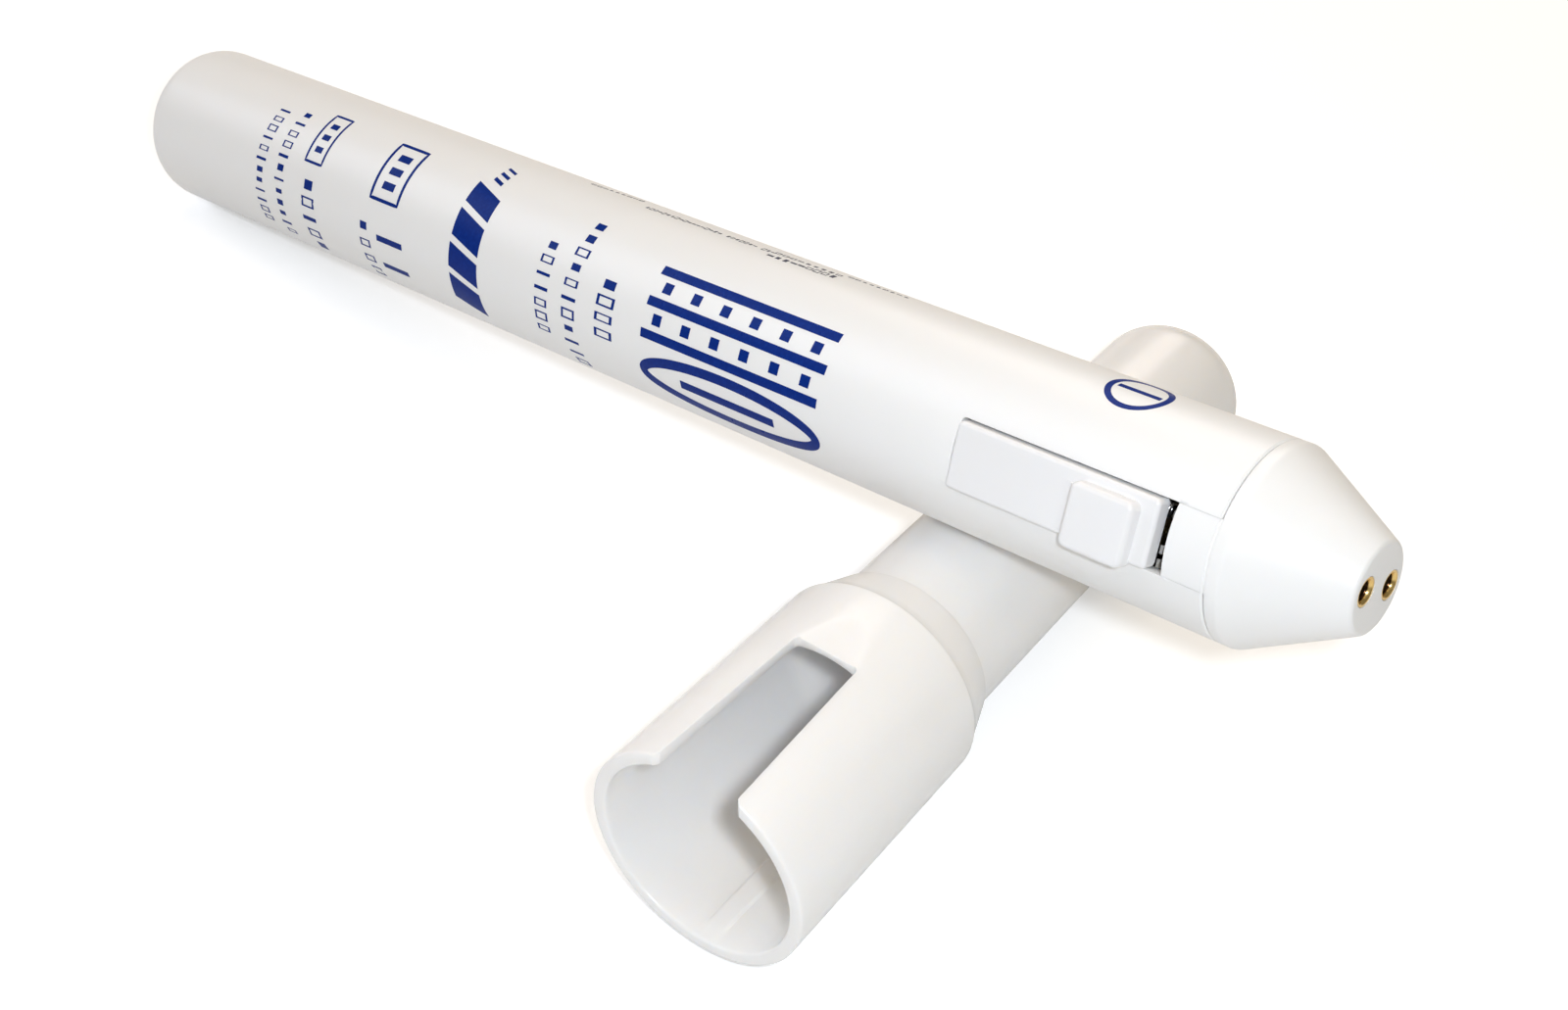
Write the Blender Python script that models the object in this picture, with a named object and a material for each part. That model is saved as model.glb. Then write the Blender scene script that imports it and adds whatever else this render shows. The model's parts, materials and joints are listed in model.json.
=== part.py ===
"""A battery cautery pen, resting across the protective cap that was pulled off its nose.

Two frames of reference are used. The pen's frame has X along its tube, from the closed rear
end to the nose, and Z towards the thumb switch. The cap's frame has X along its axis, from
the open bell to the domed end, and Z towards its slot. Each frame is an empty, and the two
empties are laid on the table so that the pen's rear end and the cap touch it and the pen's
tube rests on the cap's neck.
"""
import math

import bmesh
import bpy
from mathutils import Matrix, Vector

MM = 0.001

# Clearances
REST_GAP = 0.3 * MM            # between pieces that rest on or against each other
SEAM_GAP = 0.12 * MM           # the fine seam between two fitted plastic edges
PRESS_GAP = 0.06 * MM          # round a press-fitted metal socket
SLIDE_GAP = 0.3 * MM           # round the thumb slider's guides
CUT_MARGIN = 3.0 * MM          # how far a cutter runs past the face it opens

# The tube
TUBE_RADIUS = 9.0 * MM
TUBE_WALL = 1.4 * MM
TUBE_FRONT_BAND = 3.85 * MM    # from the window's front end to the seam at the nose
REAR_DOME = 4.2 * MM
REAR_DOME_POWER = 2.5          # 2 is an ellipse, more is squarer
REAR_WALL = 1.7 * MM
REAR_FILLET = 2.0 * MM
TUBE_EDGE = 0.15 * MM

# The window that the thumb slider moves in, cut in from the tube's open end
SWITCH_ROLL = math.radians(62.8)   # from straight up, towards the viewer
WINDOW_SETBACK = 12.6 * MM         # from the frame moulding's rear face
WINDOW_LENGTH = 21.85 * MM
WINDOW_HALF = 2.98 * MM
WINDOW_CORNER = 0.45 * MM

# Two round cells, end to end
CELL_RADIUS = 7.1 * MM
CELL_LENGTH = 50.5 * MM
CELL_EDGE = 0.5 * MM
CELL_DISH = 0.3 * MM               # how far each end's middle is dished
CELL_NUB_RADIUS = 2.75 * MM
CELL_NUB_HEIGHT = 1.4 * MM
CELL_COUNT = 2

# Sheet-metal contacts
SHEET = 0.3 * MM
STRIP_WIDTH = 3.2 * MM
STRIP_OVERLAP = 10.0 * MM          # how far the strip runs on beside the frame moulding
REAR_PLATE_RADIUS = 6.3 * MM
REAR_PLATE_THICKNESS = 0.4 * MM

# The spring behind the cells
REAR_SPRING_WIRE = 0.35 * MM       # radius of the wire
REAR_SPRING_BASE = 5.2 * MM
REAR_SPRING_TOP = 3.0 * MM
REAR_SPRING_LENGTH = 5.0 * MM
REAR_SPRING_TURNS = 4.0

# The nose
NOSE_BAND = 1.15 * MM              # short cylinder in front of the seam
NOSE_CONE = 8.65 * MM
NOSE_CONE_TIP = 4.4 * MM           # radius where the cone meets the rounded edge
NOSE_FACE = 3.75 * MM              # radius of the flat face
NOSE_EDGE = 0.65 * MM
NOSE_FRONT_WALL = 7.5 * MM
SPIGOT_CLEARANCE = 0.3 * MM
SPIGOT_WALL = 1.3 * MM
SPIGOT_LENGTH = 7.3 * MM
TONGUE_ROOT = 0.4 * MM             # how far the tongue reaches into the spigot's wall

# The two tip sockets in the nose face
SOCKET_SPACING = 4.35 * MM
SOCKET_RIM = 1.3 * MM
SOCKET_RIM_DEPTH = 0.6 * MM
SOCKET_BODY = 1.1 * MM
SOCKET_BORE = 0.88 * MM
SOCKET_BORE_DEPTH = 7.0 * MM
SOCKET_LENGTH = 10.2 * MM
SOCKET_RECESS = 0.05 * MM
CLIP_WALL = 0.16 * MM
CLIP_RECESS = 0.45 * MM
CLIP_LENGTH = 5.0 * MM
CLIP_SLIT = math.radians(34.0)

# The thumb slider
SLIDE_TRAVEL = 0.8 * MM
SLAB_WIDTH = 5.5 * MM
SLAB_TOP = 9.2 * MM                # height above the pen's axis
SLAB_THICKNESS = 1.65 * MM
SLAB_ROUNDING = 0.5 * MM
SLAB_END_GAP = 0.15 * MM
BUTTON_SETBACK = 1.8 * MM          # from the slab's front end
BUTTON_LENGTH = 6.2 * MM
BUTTON_WIDTH = 5.3 * MM
BUTTON_OFFSET = -0.65 * MM         # its low edge reaches over the window's edge
BUTTON_HEIGHT = 1.35 * MM
BUTTON_SINK = 0.35 * MM            # how far its underside lies below the slab's top
BUTTON_DRAFT = 0.05 * MM
BUTTON_ROUNDING = 0.25 * MM
STEM_WIDTH = 4.6 * MM
FLANGE_WIDTH = 6.6 * MM
FLANGE_THICKNESS = 0.6 * MM
FLANGE_HEIGHT = 4.7 * MM           # underside of the flange above the pen's axis
FLANGE_REAR_SETBACK = 2.75 * MM    # from the slab's rear end
FLANGE_FRONT_SETBACK = 4.0 * MM    # from the slab's front end

# The frame inside the tube that guides the slider
FRAME_REAR_WALL = 2.0 * MM
FRAME_SHELL = 1.7 * MM
FRAME_FLOOR = 1.2 * MM             # height of the contact channel's floor
CHANNEL_WIDTH = 4.2 * MM
LUG_WIDTH = 1.4 * MM
LUG_HEIGHT = 3.3 * MM
LUG_REACH = 3.8 * MM
LUG_INSET = 0.5 * MM               # from the shell's inner wall

# The slider's return spring
RETURN_WIRE = 0.13 * MM
RETURN_RADIUS = 0.65 * MM
RETURN_TURNS = 6.0
RETURN_SIDE = 1.5 * MM
RETURN_HEIGHT = 6.2 * MM
RETURN_SEAT = 1.2 * MM

# Contacts of the switch
STRAP_WIDTH = 3.0 * MM
STRAP_HEIGHT = 1.65 * MM
STRAP_REACH = 6.0 * MM             # how far the strap runs on under the slider's foot
BRIDGE_WIDTH = 2.2 * MM
BRIDGE_SIDE = -0.65 * MM
BRIDGE_TAB_SETBACK = 1.25 * MM     # from the slab's front end
BRIDGE_TOE = 1.2 * MM              # where the bent-up toe starts, from the foot's rear end
BRIDGE_TOUCH = 2.5 * MM
BRIDGE_RISE = 5.0 * MM
BRIDGE_TOE_LIFT = 0.6 * MM
LEAF_CLEARANCE = 0.25 * MM         # left between tab and leaf when the slider is forward
LEAF_TOP = 6.9 * MM
LEAF_WIDTH = 2.7 * MM
LEAF_SIDE = -1.75 * MM
LEAF_NOTCH = 0.7 * MM
LEAF_NOTCH_FOOT = 1.2 * MM         # height of the notch's floor above the strap
LEAF_STEP = 0.55 * MM              # how much lower the leaf's outer prong is
STRAP_LAP = 2.28 * MM              # how far the straps run on beside the sockets
WIPER_START = 4.5 * MM             # from the frame moulding's rear face
WIPER_RAMP = 2.0 * MM
WIPER_BEND_START = 2.0 * MM        # from the frame moulding's front face
WIPER_BEND_END = 4.8 * MM

# The cap
CAP_MOUTH_RADIUS = 10.92 * MM
CAP_BELL_RADIUS = 10.55 * MM
CAP_BELL_LENGTH = 26.3 * MM
CAP_SHOULDER = 4.7 * MM
CAP_SHOULDER_EDGE = 8.8 * MM       # radius of the shoulder's far edge
CAP_NECK_STEP = 0.3 * MM           # length of the small step from that edge down to the neck
CAP_NECK_ROOT = 8.2 * MM
CAP_NECK_RADIUS = 7.82 * MM
CAP_NECK_LENGTH = 48.3 * MM
CAP_DOME = 5.94 * MM
CAP_WALL = 1.27 * MM
CAP_BORE_DRAFT = 0.12 * MM
CAP_RIM_ROUNDING = 0.25 * MM
SLOT_LENGTH = 18.0 * MM
SLOT_MOUTH_HALF = 3.95 * MM
SLOT_END_HALF = 3.2 * MM
SLOT_CORNER = 0.5 * MM
RAMP_LENGTH = 4.6 * MM
RAMP_MARGIN = 1.0 * MM             # how far its cutter runs on, both ways, along the same slope
RIB_ROLL = math.radians(186.5)
RIB_WIDTH = 1.8 * MM
RIB_HEIGHT = 0.2 * MM
RIB_START = 0.8 * MM
RIB_LENGTH = 22.0 * MM

# How the two lie on the table
CAP_HEADING = math.radians(94.8)
CROSSING_ON_PEN = 114.35 * MM      # from the rear dome's base
CROSSING_ON_CAP = 43.57 * MM       # from the cap's mouth

# Facets
ROUND = 64
REAR_DOME_STEPS = 9
SMALL_ROUND = 24
CELL_ROUND = 32
WIRE_SIDES = 6
SHARP_ANGLE = math.radians(35.0)

# Sizes that follow from the ones above
TUBE_BORE = TUBE_RADIUS - TUBE_WALL
REAR_WALL_FACE = -(REAR_DOME - REAR_WALL)
CELLS_START = REAR_WALL_FACE + SHEET + REAR_PLATE_THICKNESS + REAR_SPRING_LENGTH + 2 * REST_GAP
CELL_PITCH = CELL_LENGTH + REST_GAP
CELLS_END = CELLS_START + CELL_COUNT * CELL_PITCH - REST_GAP
FRAME_REAR = CELLS_END + REST_GAP + SHEET + REST_GAP
WINDOW_REAR = FRAME_REAR + WINDOW_SETBACK
WINDOW_FRONT = WINDOW_REAR + WINDOW_LENGTH
TUBE_LENGTH = WINDOW_FRONT + TUBE_FRONT_BAND     # from the rear dome's base to the seam
FRAME_FRONT = TUBE_LENGTH - SPIGOT_LENGTH - REST_GAP
NOSE_SHOULDER = TUBE_LENGTH + SEAM_GAP
NOSE_BASE = NOSE_SHOULDER + NOSE_BAND
NOSE_TIP = NOSE_BASE + NOSE_CONE + NOSE_EDGE
SPIGOT_RADIUS = TUBE_BORE - SPIGOT_CLEARANCE
SPIGOT_BORE = SPIGOT_RADIUS - SPIGOT_WALL
NOSE_CAVITY_END = NOSE_TIP - NOSE_FRONT_WALL
SLAB_REAR = WINDOW_REAR + SLAB_END_GAP
SLAB_FRONT = WINDOW_FRONT - SLIDE_TRAVEL - SLAB_END_GAP
SLAB_BOTTOM = SLAB_TOP - SLAB_THICKNESS
BUTTON_REAR = SLAB_FRONT - BUTTON_SETBACK - BUTTON_LENGTH
FLANGE_REAR = SLAB_REAR + FLANGE_REAR_SETBACK
FLANGE_FRONT = SLAB_FRONT - FLANGE_FRONT_SETBACK
BRIDGE_TAB = SLAB_FRONT - BRIDGE_TAB_SETBACK
LEAF_FACE = BRIDGE_TAB + SHEET + SLIDE_TRAVEL + LEAF_CLEARANCE
STRAP_END = NOSE_TIP - SOCKET_RECESS - SOCKET_LENGTH + STRAP_LAP
STRIP_CENTRE = TUBE_BORE


def clear_scene():
    """Remove the objects and meshes that the file opens with."""
    for thing in list(bpy.data.objects):
        bpy.data.objects.remove(thing, do_unlink=True)
    for mesh in list(bpy.data.meshes):
        bpy.data.meshes.remove(mesh)


def make_material(name, colour, roughness, metallic=0.0):
    """A Principled BSDF with one colour."""
    material = bpy.data.materials.new(name)
    material.use_nodes = True
    shader = material.node_tree.nodes["Principled BSDF"]
    shader.inputs["Base Color"].default_value = (*colour, 1.0)
    shader.inputs["Roughness"].default_value = roughness
    shader.inputs["Metallic"].default_value = metallic
    return material


def make_frame(name, parent=None, location=(0.0, 0.0, 0.0), rotation=(0.0, 0.0, 0.0)):
    """An empty that carries pieces."""
    empty = bpy.data.objects.new(name, None)
    empty.empty_display_size = 10.0 * MM
    empty.location = location
    empty.rotation_euler = rotation
    empty.parent = parent
    bpy.context.scene.collection.objects.link(empty)
    return empty


def finish_mesh(bm, name, material, parent, origin=(0.0, 0.0, 0.0)):
    """Turn a bmesh drawn in the pen's or the cap's frame into an object at the given origin."""
    bmesh.ops.recalc_face_normals(bm, faces=bm.faces)
    mesh = bpy.data.meshes.new(name)
    bm.to_mesh(mesh)
    bm.free()
    mesh.transform(Matrix.Translation(-Vector(origin)))
    mesh.materials.append(material)
    mesh.shade_smooth()
    mesh.set_sharp_from_angle(angle=SHARP_ANGLE)
    piece = bpy.data.objects.new(name, mesh)
    piece.location = origin
    piece.parent = parent
    bpy.context.scene.collection.objects.link(piece)
    return piece


def as_tool(piece):
    """Mark a piece that only cuts or joins another one."""
    piece.hide_render = True
    piece.display_type = "WIRE"
    return piece


def combine(piece, tool, operation):
    """Add a Boolean modifier that uses the tool on the piece."""
    modifier = piece.modifiers.new(tool.name, "BOOLEAN")
    modifier.operation = operation
    modifier.solver = "EXACT"
    modifier.object = as_tool(tool)
    return piece


def revolve(profile, segments=ROUND, closed=False, centre=(0.0, 0.0)):
    """Turn a profile of (x, radius) points about an axis along X, through centre (y, z)."""
    bm = bmesh.new()
    rings = []
    for x, radius in profile:
        if radius < 1e-9:
            rings.append([bm.verts.new((x, centre[0], centre[1]))])
            continue
        ring = []
        for step in range(segments):
            angle = math.tau * step / segments
            y = centre[0] + radius * math.sin(angle)
            z = centre[1] + radius * math.cos(angle)
            ring.append(bm.verts.new((x, y, z)))
        rings.append(ring)
    followers = rings[1:] + rings[:1] if closed else rings[1:]
    for ring, follower in zip(rings, followers):
        for step in range(segments):
            corners = []
            for side, offset in ((ring, 0), (ring, 1), (follower, 1), (follower, 0)):
                vert = side[(step + offset) % len(side)]
                if vert not in corners:
                    corners.append(vert)
            if len(corners) > 2:
                bm.faces.new(corners)
    return bm


def arc(centre, radius, start, end, steps):
    """Points on an arc in the (x, radius) plane, angles in degrees from +X."""
    points = []
    for step in range(steps + 1):
        angle = math.radians(start + (end - start) * step / steps)
        points.append((centre[0] + radius * math.cos(angle), centre[1] + radius * math.sin(angle)))
    return points


def dome(base, height, radius, power, steps, outward=1.0):
    """Profile points of a squared dome, from its pole to its base circle."""
    points = [(base + outward * height, 0.0)]
    for step in range(1, steps + 1):
        angle = 0.5 * math.pi * step / steps
        x = height * math.cos(angle) ** (2.0 / power) if step < steps else 0.0
        r = radius * math.sin(angle) ** (2.0 / power)
        points.append((base + outward * x, r))
    return points


def prism(outline, low, high, axis="Z"):
    """Extrude an outline along an axis: (x, y) points along Z, or (x, z) points along Y."""
    bm = bmesh.new()
    if axis == "Z":
        verts = [bm.verts.new((a, b, low)) for a, b in outline]
        lift = Vector((0.0, 0.0, high - low))
    else:
        verts = [bm.verts.new((a, low, b)) for a, b in outline]
        lift = Vector((0.0, high - low, 0.0))
    face = bm.faces.new(verts)
    result = bmesh.ops.extrude_face_region(bm, geom=[face])
    moved = [item for item in result["geom"] if isinstance(item, bmesh.types.BMVert)]
    bmesh.ops.translate(bm, verts=moved, vec=lift)
    return bm


def block(x0, x1, y0, y1, z0, z1):
    """A plain rectangular solid."""
    return prism([(x0, y0), (x1, y0), (x1, y1), (x0, y1)], z0, z1)


def soften_top(bm, top, rounding, segments=3):
    """Round the edges of a solid that lie on, or run up to, the plane z = top."""
    edges = []
    for edge in bm.edges:
        heights = [vert.co.z for vert in edge.verts]
        if max(heights) > top - 1e-7:
            edges.append(edge)
    bmesh.ops.bevel(bm, geom=edges, offset=rounding, segments=segments, affect="EDGES", profile=0.5)
    return bm


def ribbon(path, width, side=0.0, thickness=SHEET):
    """Bend a flat strip along a path of (x, z) points, with mitred corners."""
    points = [Vector(point) for point in path]
    half = 0.5 * thickness
    left, right = [], []
    for index, point in enumerate(points):
        before = (point - points[index - 1]).normalized() if index else None
        after = (points[index + 1] - point).normalized() if index < len(points) - 1 else None
        before = before or after
        after = after or before
        middle = (before + after).normalized()
        normal = Vector((-middle.y, middle.x))
        reach = half / max(0.3, normal.dot(Vector((-before.y, before.x))))
        left.append(tuple(point + normal * reach))
        right.append(tuple(point - normal * reach))
    outline = left + right[::-1]
    return prism(outline, side - 0.5 * width, side + 0.5 * width, axis="Y")


def coil(start, end, start_radius, end_radius, turns, wire, steps_per_turn, centre=(0.0, 0.0)):
    """A helical wire along X, with flat ends, as a closed tube."""
    bm = bmesh.new()
    count = int(turns * steps_per_turn)
    rings = []
    for step in range(count + 1):
        share = step / count
        angle = math.tau * turns * share
        radius = start_radius + (end_radius - start_radius) * share
        outward = Vector((0.0, math.sin(angle), math.cos(angle)))
        middle = Vector((start + (end - start) * share, centre[0], centre[1])) + outward * radius
        ring = []
        for side in range(WIRE_SIDES):
            turn = math.tau * side / WIRE_SIDES
            offset = outward * math.cos(turn) + Vector((1.0, 0.0, 0.0)) * math.sin(turn)
            ring.append(bm.verts.new(middle + offset * wire))
        rings.append(ring)
    for ring, follower in zip(rings, rings[1:]):
        for side in range(WIRE_SIDES):
            after = (side + 1) % WIRE_SIDES
            bm.faces.new((ring[side], ring[after], follower[after], follower[side]))
    bm.faces.new(rings[0])
    bm.faces.new(rings[-1])
    return bm


def split_sleeve(start, end, outer, inner, slit, centre, segments=14):
    """A tube with a lengthwise slit, its two edges facing each other."""
    bm = bmesh.new()
    rings = []
    for step in range(segments + 1):
        angle = 0.5 * slit + (math.tau - slit) * step / segments
        y, z = math.sin(angle), math.cos(angle)
        section = []
        for x, radius in ((start, outer), (end, outer), (end, inner), (start, inner)):
            section.append(bm.verts.new((x, centre[0] + radius * y, centre[1] + radius * z)))
        rings.append(section)
    for section, follower in zip(rings, rings[1:]):
        for side in range(4):
            after = (side + 1) % 4
            bm.faces.new((section[side], section[after], follower[after], follower[side]))
    bm.faces.new(rings[0])
    bm.faces.new(rings[-1])
    return bm


def make_tube(pen, plastic):
    """The long white tube with its closed rear end, its window and its strip groove."""
    profile = dome(0.0, REAR_DOME, TUBE_RADIUS, REAR_DOME_POWER, REAR_DOME_STEPS, outward=-1.0)
    profile.append((TUBE_LENGTH - TUBE_EDGE, TUBE_RADIUS))
    profile.append((TUBE_LENGTH, TUBE_RADIUS - TUBE_EDGE))
    profile.append((TUBE_LENGTH, TUBE_BORE + TUBE_EDGE))
    profile.append((TUBE_LENGTH - TUBE_EDGE, TUBE_BORE))
    corner = (REAR_WALL_FACE + REAR_FILLET, TUBE_BORE - REAR_FILLET)
    profile.extend(arc(corner, REAR_FILLET, 90.0, 180.0, 4))
    profile.append((REAR_WALL_FACE, 0.0))
    tube = finish_mesh(revolve(profile), "body_tube", plastic, pen)

    past = TUBE_LENGTH + CUT_MARGIN
    corner_x = WINDOW_REAR + WINDOW_CORNER
    corner_y = WINDOW_HALF - WINDOW_CORNER
    outline = [(past, WINDOW_HALF)]
    outline.extend(arc((corner_x, corner_y), WINDOW_CORNER, 90.0, 180.0, 3))
    outline.extend(arc((corner_x, -corner_y), WINDOW_CORNER, 180.0, 270.0, 3))
    outline.append((past, -WINDOW_HALF))
    window = prism(outline, 0.5 * TUBE_BORE, TUBE_RADIUS + CUT_MARGIN)
    combine(tube, finish_mesh(window, "window_cutter", plastic, pen), "DIFFERENCE")

    groove_side = 0.5 * STRIP_WIDTH + REST_GAP
    groove_floor = -(STRIP_CENTRE + 0.5 * SHEET + REST_GAP)
    groove = block(REAR_WALL_FACE + 0.4 * REAR_FILLET, past, -groove_side, groove_side,
                   groove_floor, 0.9 * -TUBE_BORE)
    combine(tube, finish_mesh(groove, "strip_groove_cutter", plastic, pen), "DIFFERENCE")
    return tube


def make_cells(pen, steel):
    """Two round cells, each with its flat end to the rear and its contact nub to the front."""
    cells = []
    for index, name in enumerate(("cell_rear", "cell_front")):
        start = CELLS_START + index * CELL_PITCH
        shoulder = start + CELL_LENGTH - CELL_NUB_HEIGHT
        profile = [(start + CELL_DISH, 0.0)]
        profile.append((start + CELL_DISH, 0.7 * CELL_RADIUS))
        profile.append((start, 0.78 * CELL_RADIUS))
        profile.append((start, CELL_RADIUS - CELL_EDGE))
        profile.append((start + CELL_EDGE, CELL_RADIUS))
        profile.append((shoulder - CELL_EDGE, CELL_RADIUS))
        profile.append((shoulder, CELL_RADIUS - CELL_EDGE))
        profile.append((shoulder, CELL_NUB_RADIUS))
        profile.append((start + CELL_LENGTH - CELL_DISH, CELL_NUB_RADIUS))
        profile.append((start + CELL_LENGTH, CELL_NUB_RADIUS - CELL_DISH))
        profile.append((start + CELL_LENGTH, 0.0))
        cells.append(finish_mesh(revolve(profile, CELL_ROUND), name, steel, pen))
    return cells


def make_rear_contacts(pen, steel, brass):
    """The plate, the conical spring and the long strip that bring the current forward."""
    plate_rear = REAR_WALL_FACE + REST_GAP
    plate_front = plate_rear + REAR_PLATE_THICKNESS
    profile = [(plate_rear, 0.0), (plate_rear, REAR_PLATE_RADIUS)]
    profile.extend([(plate_front, REAR_PLATE_RADIUS), (plate_front, 0.0)])
    finish_mesh(revolve(profile, CELL_ROUND), "rear_contact_plate", steel, pen)

    first = plate_front + REST_GAP + REAR_SPRING_WIRE
    last = CELLS_START - REST_GAP - REAR_SPRING_WIRE
    spring = coil(first, last, REAR_SPRING_BASE, REAR_SPRING_TOP, REAR_SPRING_TURNS, REAR_SPRING_WIRE, 18)
    finish_mesh(spring, "rear_spring", steel, pen)

    foot = plate_front + REST_GAP + 0.5 * SHEET
    foot_top = -(REAR_SPRING_BASE + REAR_SPRING_WIRE + REST_GAP)
    path = [(foot, foot_top), (foot, -(REAR_PLATE_RADIUS + 2 * REST_GAP))]
    path.append((REAR_WALL_FACE + REAR_FILLET + REST_GAP, -STRIP_CENTRE))
    path.append((FRAME_REAR + STRIP_OVERLAP, -STRIP_CENTRE))
    finish_mesh(ribbon(path, STRIP_WIDTH), "return_strip", brass, pen)


def make_nose(head, plastic):
    """The cone with its face, its hollow spigot and the tongue that closes the window."""
    cone_end = NOSE_BASE + NOSE_CONE
    profile = [(NOSE_TIP, 0.0), (NOSE_TIP, NOSE_FACE)]
    for step in range(1, 4):
        angle = 0.5 * math.pi * step / 4
        x = cone_end + NOSE_EDGE * math.cos(angle)
        profile.append((x, NOSE_FACE + (NOSE_CONE_TIP - NOSE_FACE) * math.sin(angle)))
    profile.append((cone_end, NOSE_CONE_TIP))
    profile.append((NOSE_BASE, TUBE_RADIUS))
    profile.append((NOSE_SHOULDER + TUBE_EDGE, TUBE_RADIUS))
    profile.append((NOSE_SHOULDER, TUBE_RADIUS - TUBE_EDGE))
    profile.append((NOSE_SHOULDER, SPIGOT_RADIUS))
    profile.append((TUBE_LENGTH - SPIGOT_LENGTH + TUBE_EDGE, SPIGOT_RADIUS))
    profile.append((TUBE_LENGTH - SPIGOT_LENGTH, SPIGOT_RADIUS - TUBE_EDGE))
    profile.append((TUBE_LENGTH - SPIGOT_LENGTH, SPIGOT_BORE))
    profile.append((NOSE_BASE, SPIGOT_BORE))
    slope = (TUBE_RADIUS - NOSE_CONE_TIP) / NOSE_CONE
    cavity_radius = SPIGOT_BORE - slope * (NOSE_CAVITY_END - NOSE_BASE)
    profile.append((NOSE_CAVITY_END, cavity_radius))
    profile.append((NOSE_CAVITY_END, 0.0))
    nose = finish_mesh(revolve(profile), "nose_cone", plastic, head)

    side = FLANGE_WIDTH / 2 + 3 * REST_GAP
    opening = block(TUBE_LENGTH - SPIGOT_LENGTH - CUT_MARGIN, WINDOW_FRONT + SEAM_GAP, -side, side,
                    LEAF_TOP - FLANGE_HEIGHT, TUBE_RADIUS)
    combine(nose, finish_mesh(opening, "spigot_opening_cutter", plastic, head), "DIFFERENCE")

    skin = TUBE_RADIUS - SEAM_GAP / 2
    inner = SPIGOT_RADIUS - TONGUE_ROOT
    ring = [(WINDOW_FRONT, inner), (NOSE_SHOULDER + 0.5 * NOSE_BAND, inner),
            (NOSE_SHOULDER + 0.5 * NOSE_BAND, skin), (WINDOW_FRONT, skin)]
    tongue = finish_mesh(revolve(ring, closed=True), "tongue_ring", plastic, head)
    half = WINDOW_HALF - SEAM_GAP
    keep = block(WINDOW_FRONT - CUT_MARGIN, NOSE_BASE + CUT_MARGIN, -half, half,
                 0.0, TUBE_RADIUS + CUT_MARGIN)
    combine(tongue, finish_mesh(keep, "tongue_sector", plastic, head), "INTERSECT")
    combine(nose, tongue, "UNION")

    rib_side = RETURN_RADIUS + RETURN_WIRE + REST_GAP
    seat = block(WINDOW_FRONT + SEAM_GAP, WINDOW_FRONT + SEAM_GAP + RETURN_SEAT, RETURN_SIDE - rib_side,
                 RETURN_SIDE + rib_side - SEAM_GAP, RETURN_HEIGHT - rib_side, SPIGOT_RADIUS - SEAM_GAP)
    combine(nose, finish_mesh(seat, "spring_seat", plastic, head), "UNION")

    wiper_side = 0.5 * STRIP_WIDTH + REST_GAP
    notch = block(TUBE_LENGTH - SPIGOT_LENGTH - CUT_MARGIN, TUBE_LENGTH - 0.3 * SPIGOT_LENGTH,
                  -wiper_side, wiper_side, -TUBE_RADIUS, -0.85 * SPIGOT_BORE)
    combine(nose, finish_mesh(notch, "wiper_notch_cutter", plastic, head), "DIFFERENCE")

    for label, sign in (("upper", 1.0), ("lower", -1.0)):
        centre = (0.0, sign * 0.5 * SOCKET_SPACING)
        rim = SOCKET_RIM + PRESS_GAP
        body = SOCKET_BODY + PRESS_GAP
        seat_x = NOSE_TIP - SOCKET_RECESS - SOCKET_RIM_DEPTH - PRESS_GAP
        bore = [(NOSE_TIP + CUT_MARGIN, 0.0), (NOSE_TIP + CUT_MARGIN, rim), (seat_x, rim), (seat_x, body),
                (NOSE_CAVITY_END - CUT_MARGIN / 3, body), (NOSE_CAVITY_END - CUT_MARGIN / 3, 0.0)]
        drill = revolve(bore, SMALL_ROUND, centre=centre)
        combine(nose, finish_mesh(drill, "socket_drill_" + label, plastic, head), "DIFFERENCE")
    return nose


def make_sockets(head, gold):
    """Two turned sockets and the split sleeves that grip the legs of a tip."""
    face = NOSE_TIP - SOCKET_RECESS
    for label, sign in (("upper", 1.0), ("lower", -1.0)):
        centre = (0.0, sign * 0.5 * SOCKET_SPACING)
        chamfer = 0.6 * (SOCKET_RIM - SOCKET_BORE)
        profile = [(face, SOCKET_BORE + chamfer), (face, SOCKET_RIM)]
        profile.append((face - SOCKET_RIM_DEPTH, SOCKET_RIM))
        profile.append((face - SOCKET_RIM_DEPTH, SOCKET_BODY))
        profile.append((face - SOCKET_LENGTH, SOCKET_BODY))
        profile.append((face - SOCKET_LENGTH, 0.0))
        bore = [(face - SOCKET_BORE_DEPTH, 0.0), (face - SOCKET_BORE_DEPTH, SOCKET_BORE)]
        bore.append((face - chamfer, SOCKET_BORE))
        bore.append((face, SOCKET_BORE + chamfer))
        socket = revolve(profile + bore[:-1], SMALL_ROUND, closed=False, centre=centre)
        close_ring(socket, bore[-2], bore[-1], centre)
        finish_mesh(socket, "tip_socket_" + label, gold, head)

        outer = SOCKET_BORE - PRESS_GAP
        front = face - CLIP_RECESS
        sleeve = split_sleeve(front - CLIP_LENGTH, front, outer, outer - CLIP_WALL, CLIP_SLIT, centre)
        finish_mesh(sleeve, "socket_clip_" + label, gold, head)


def close_ring(bm, inner, outer, centre):
    """Bridge the last ring of a turned profile to its first ring."""
    loops = []
    for x, radius in (inner, outer):
        ring = [vert for vert in bm.verts if abs(vert.co.x - x) < 1e-7
                and abs((Vector((vert.co.y, vert.co.z)) - Vector(centre)).length - radius) < 1e-7]
        ring.sort(key=lambda vert: math.atan2(vert.co.y - centre[0], vert.co.z - centre[1]))
        loops.append(ring)
    first, second = loops
    for step in range(len(first)):
        after = (step + 1) % len(first)
        bm.faces.new((first[step], first[after], second[after], second[step]))


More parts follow.
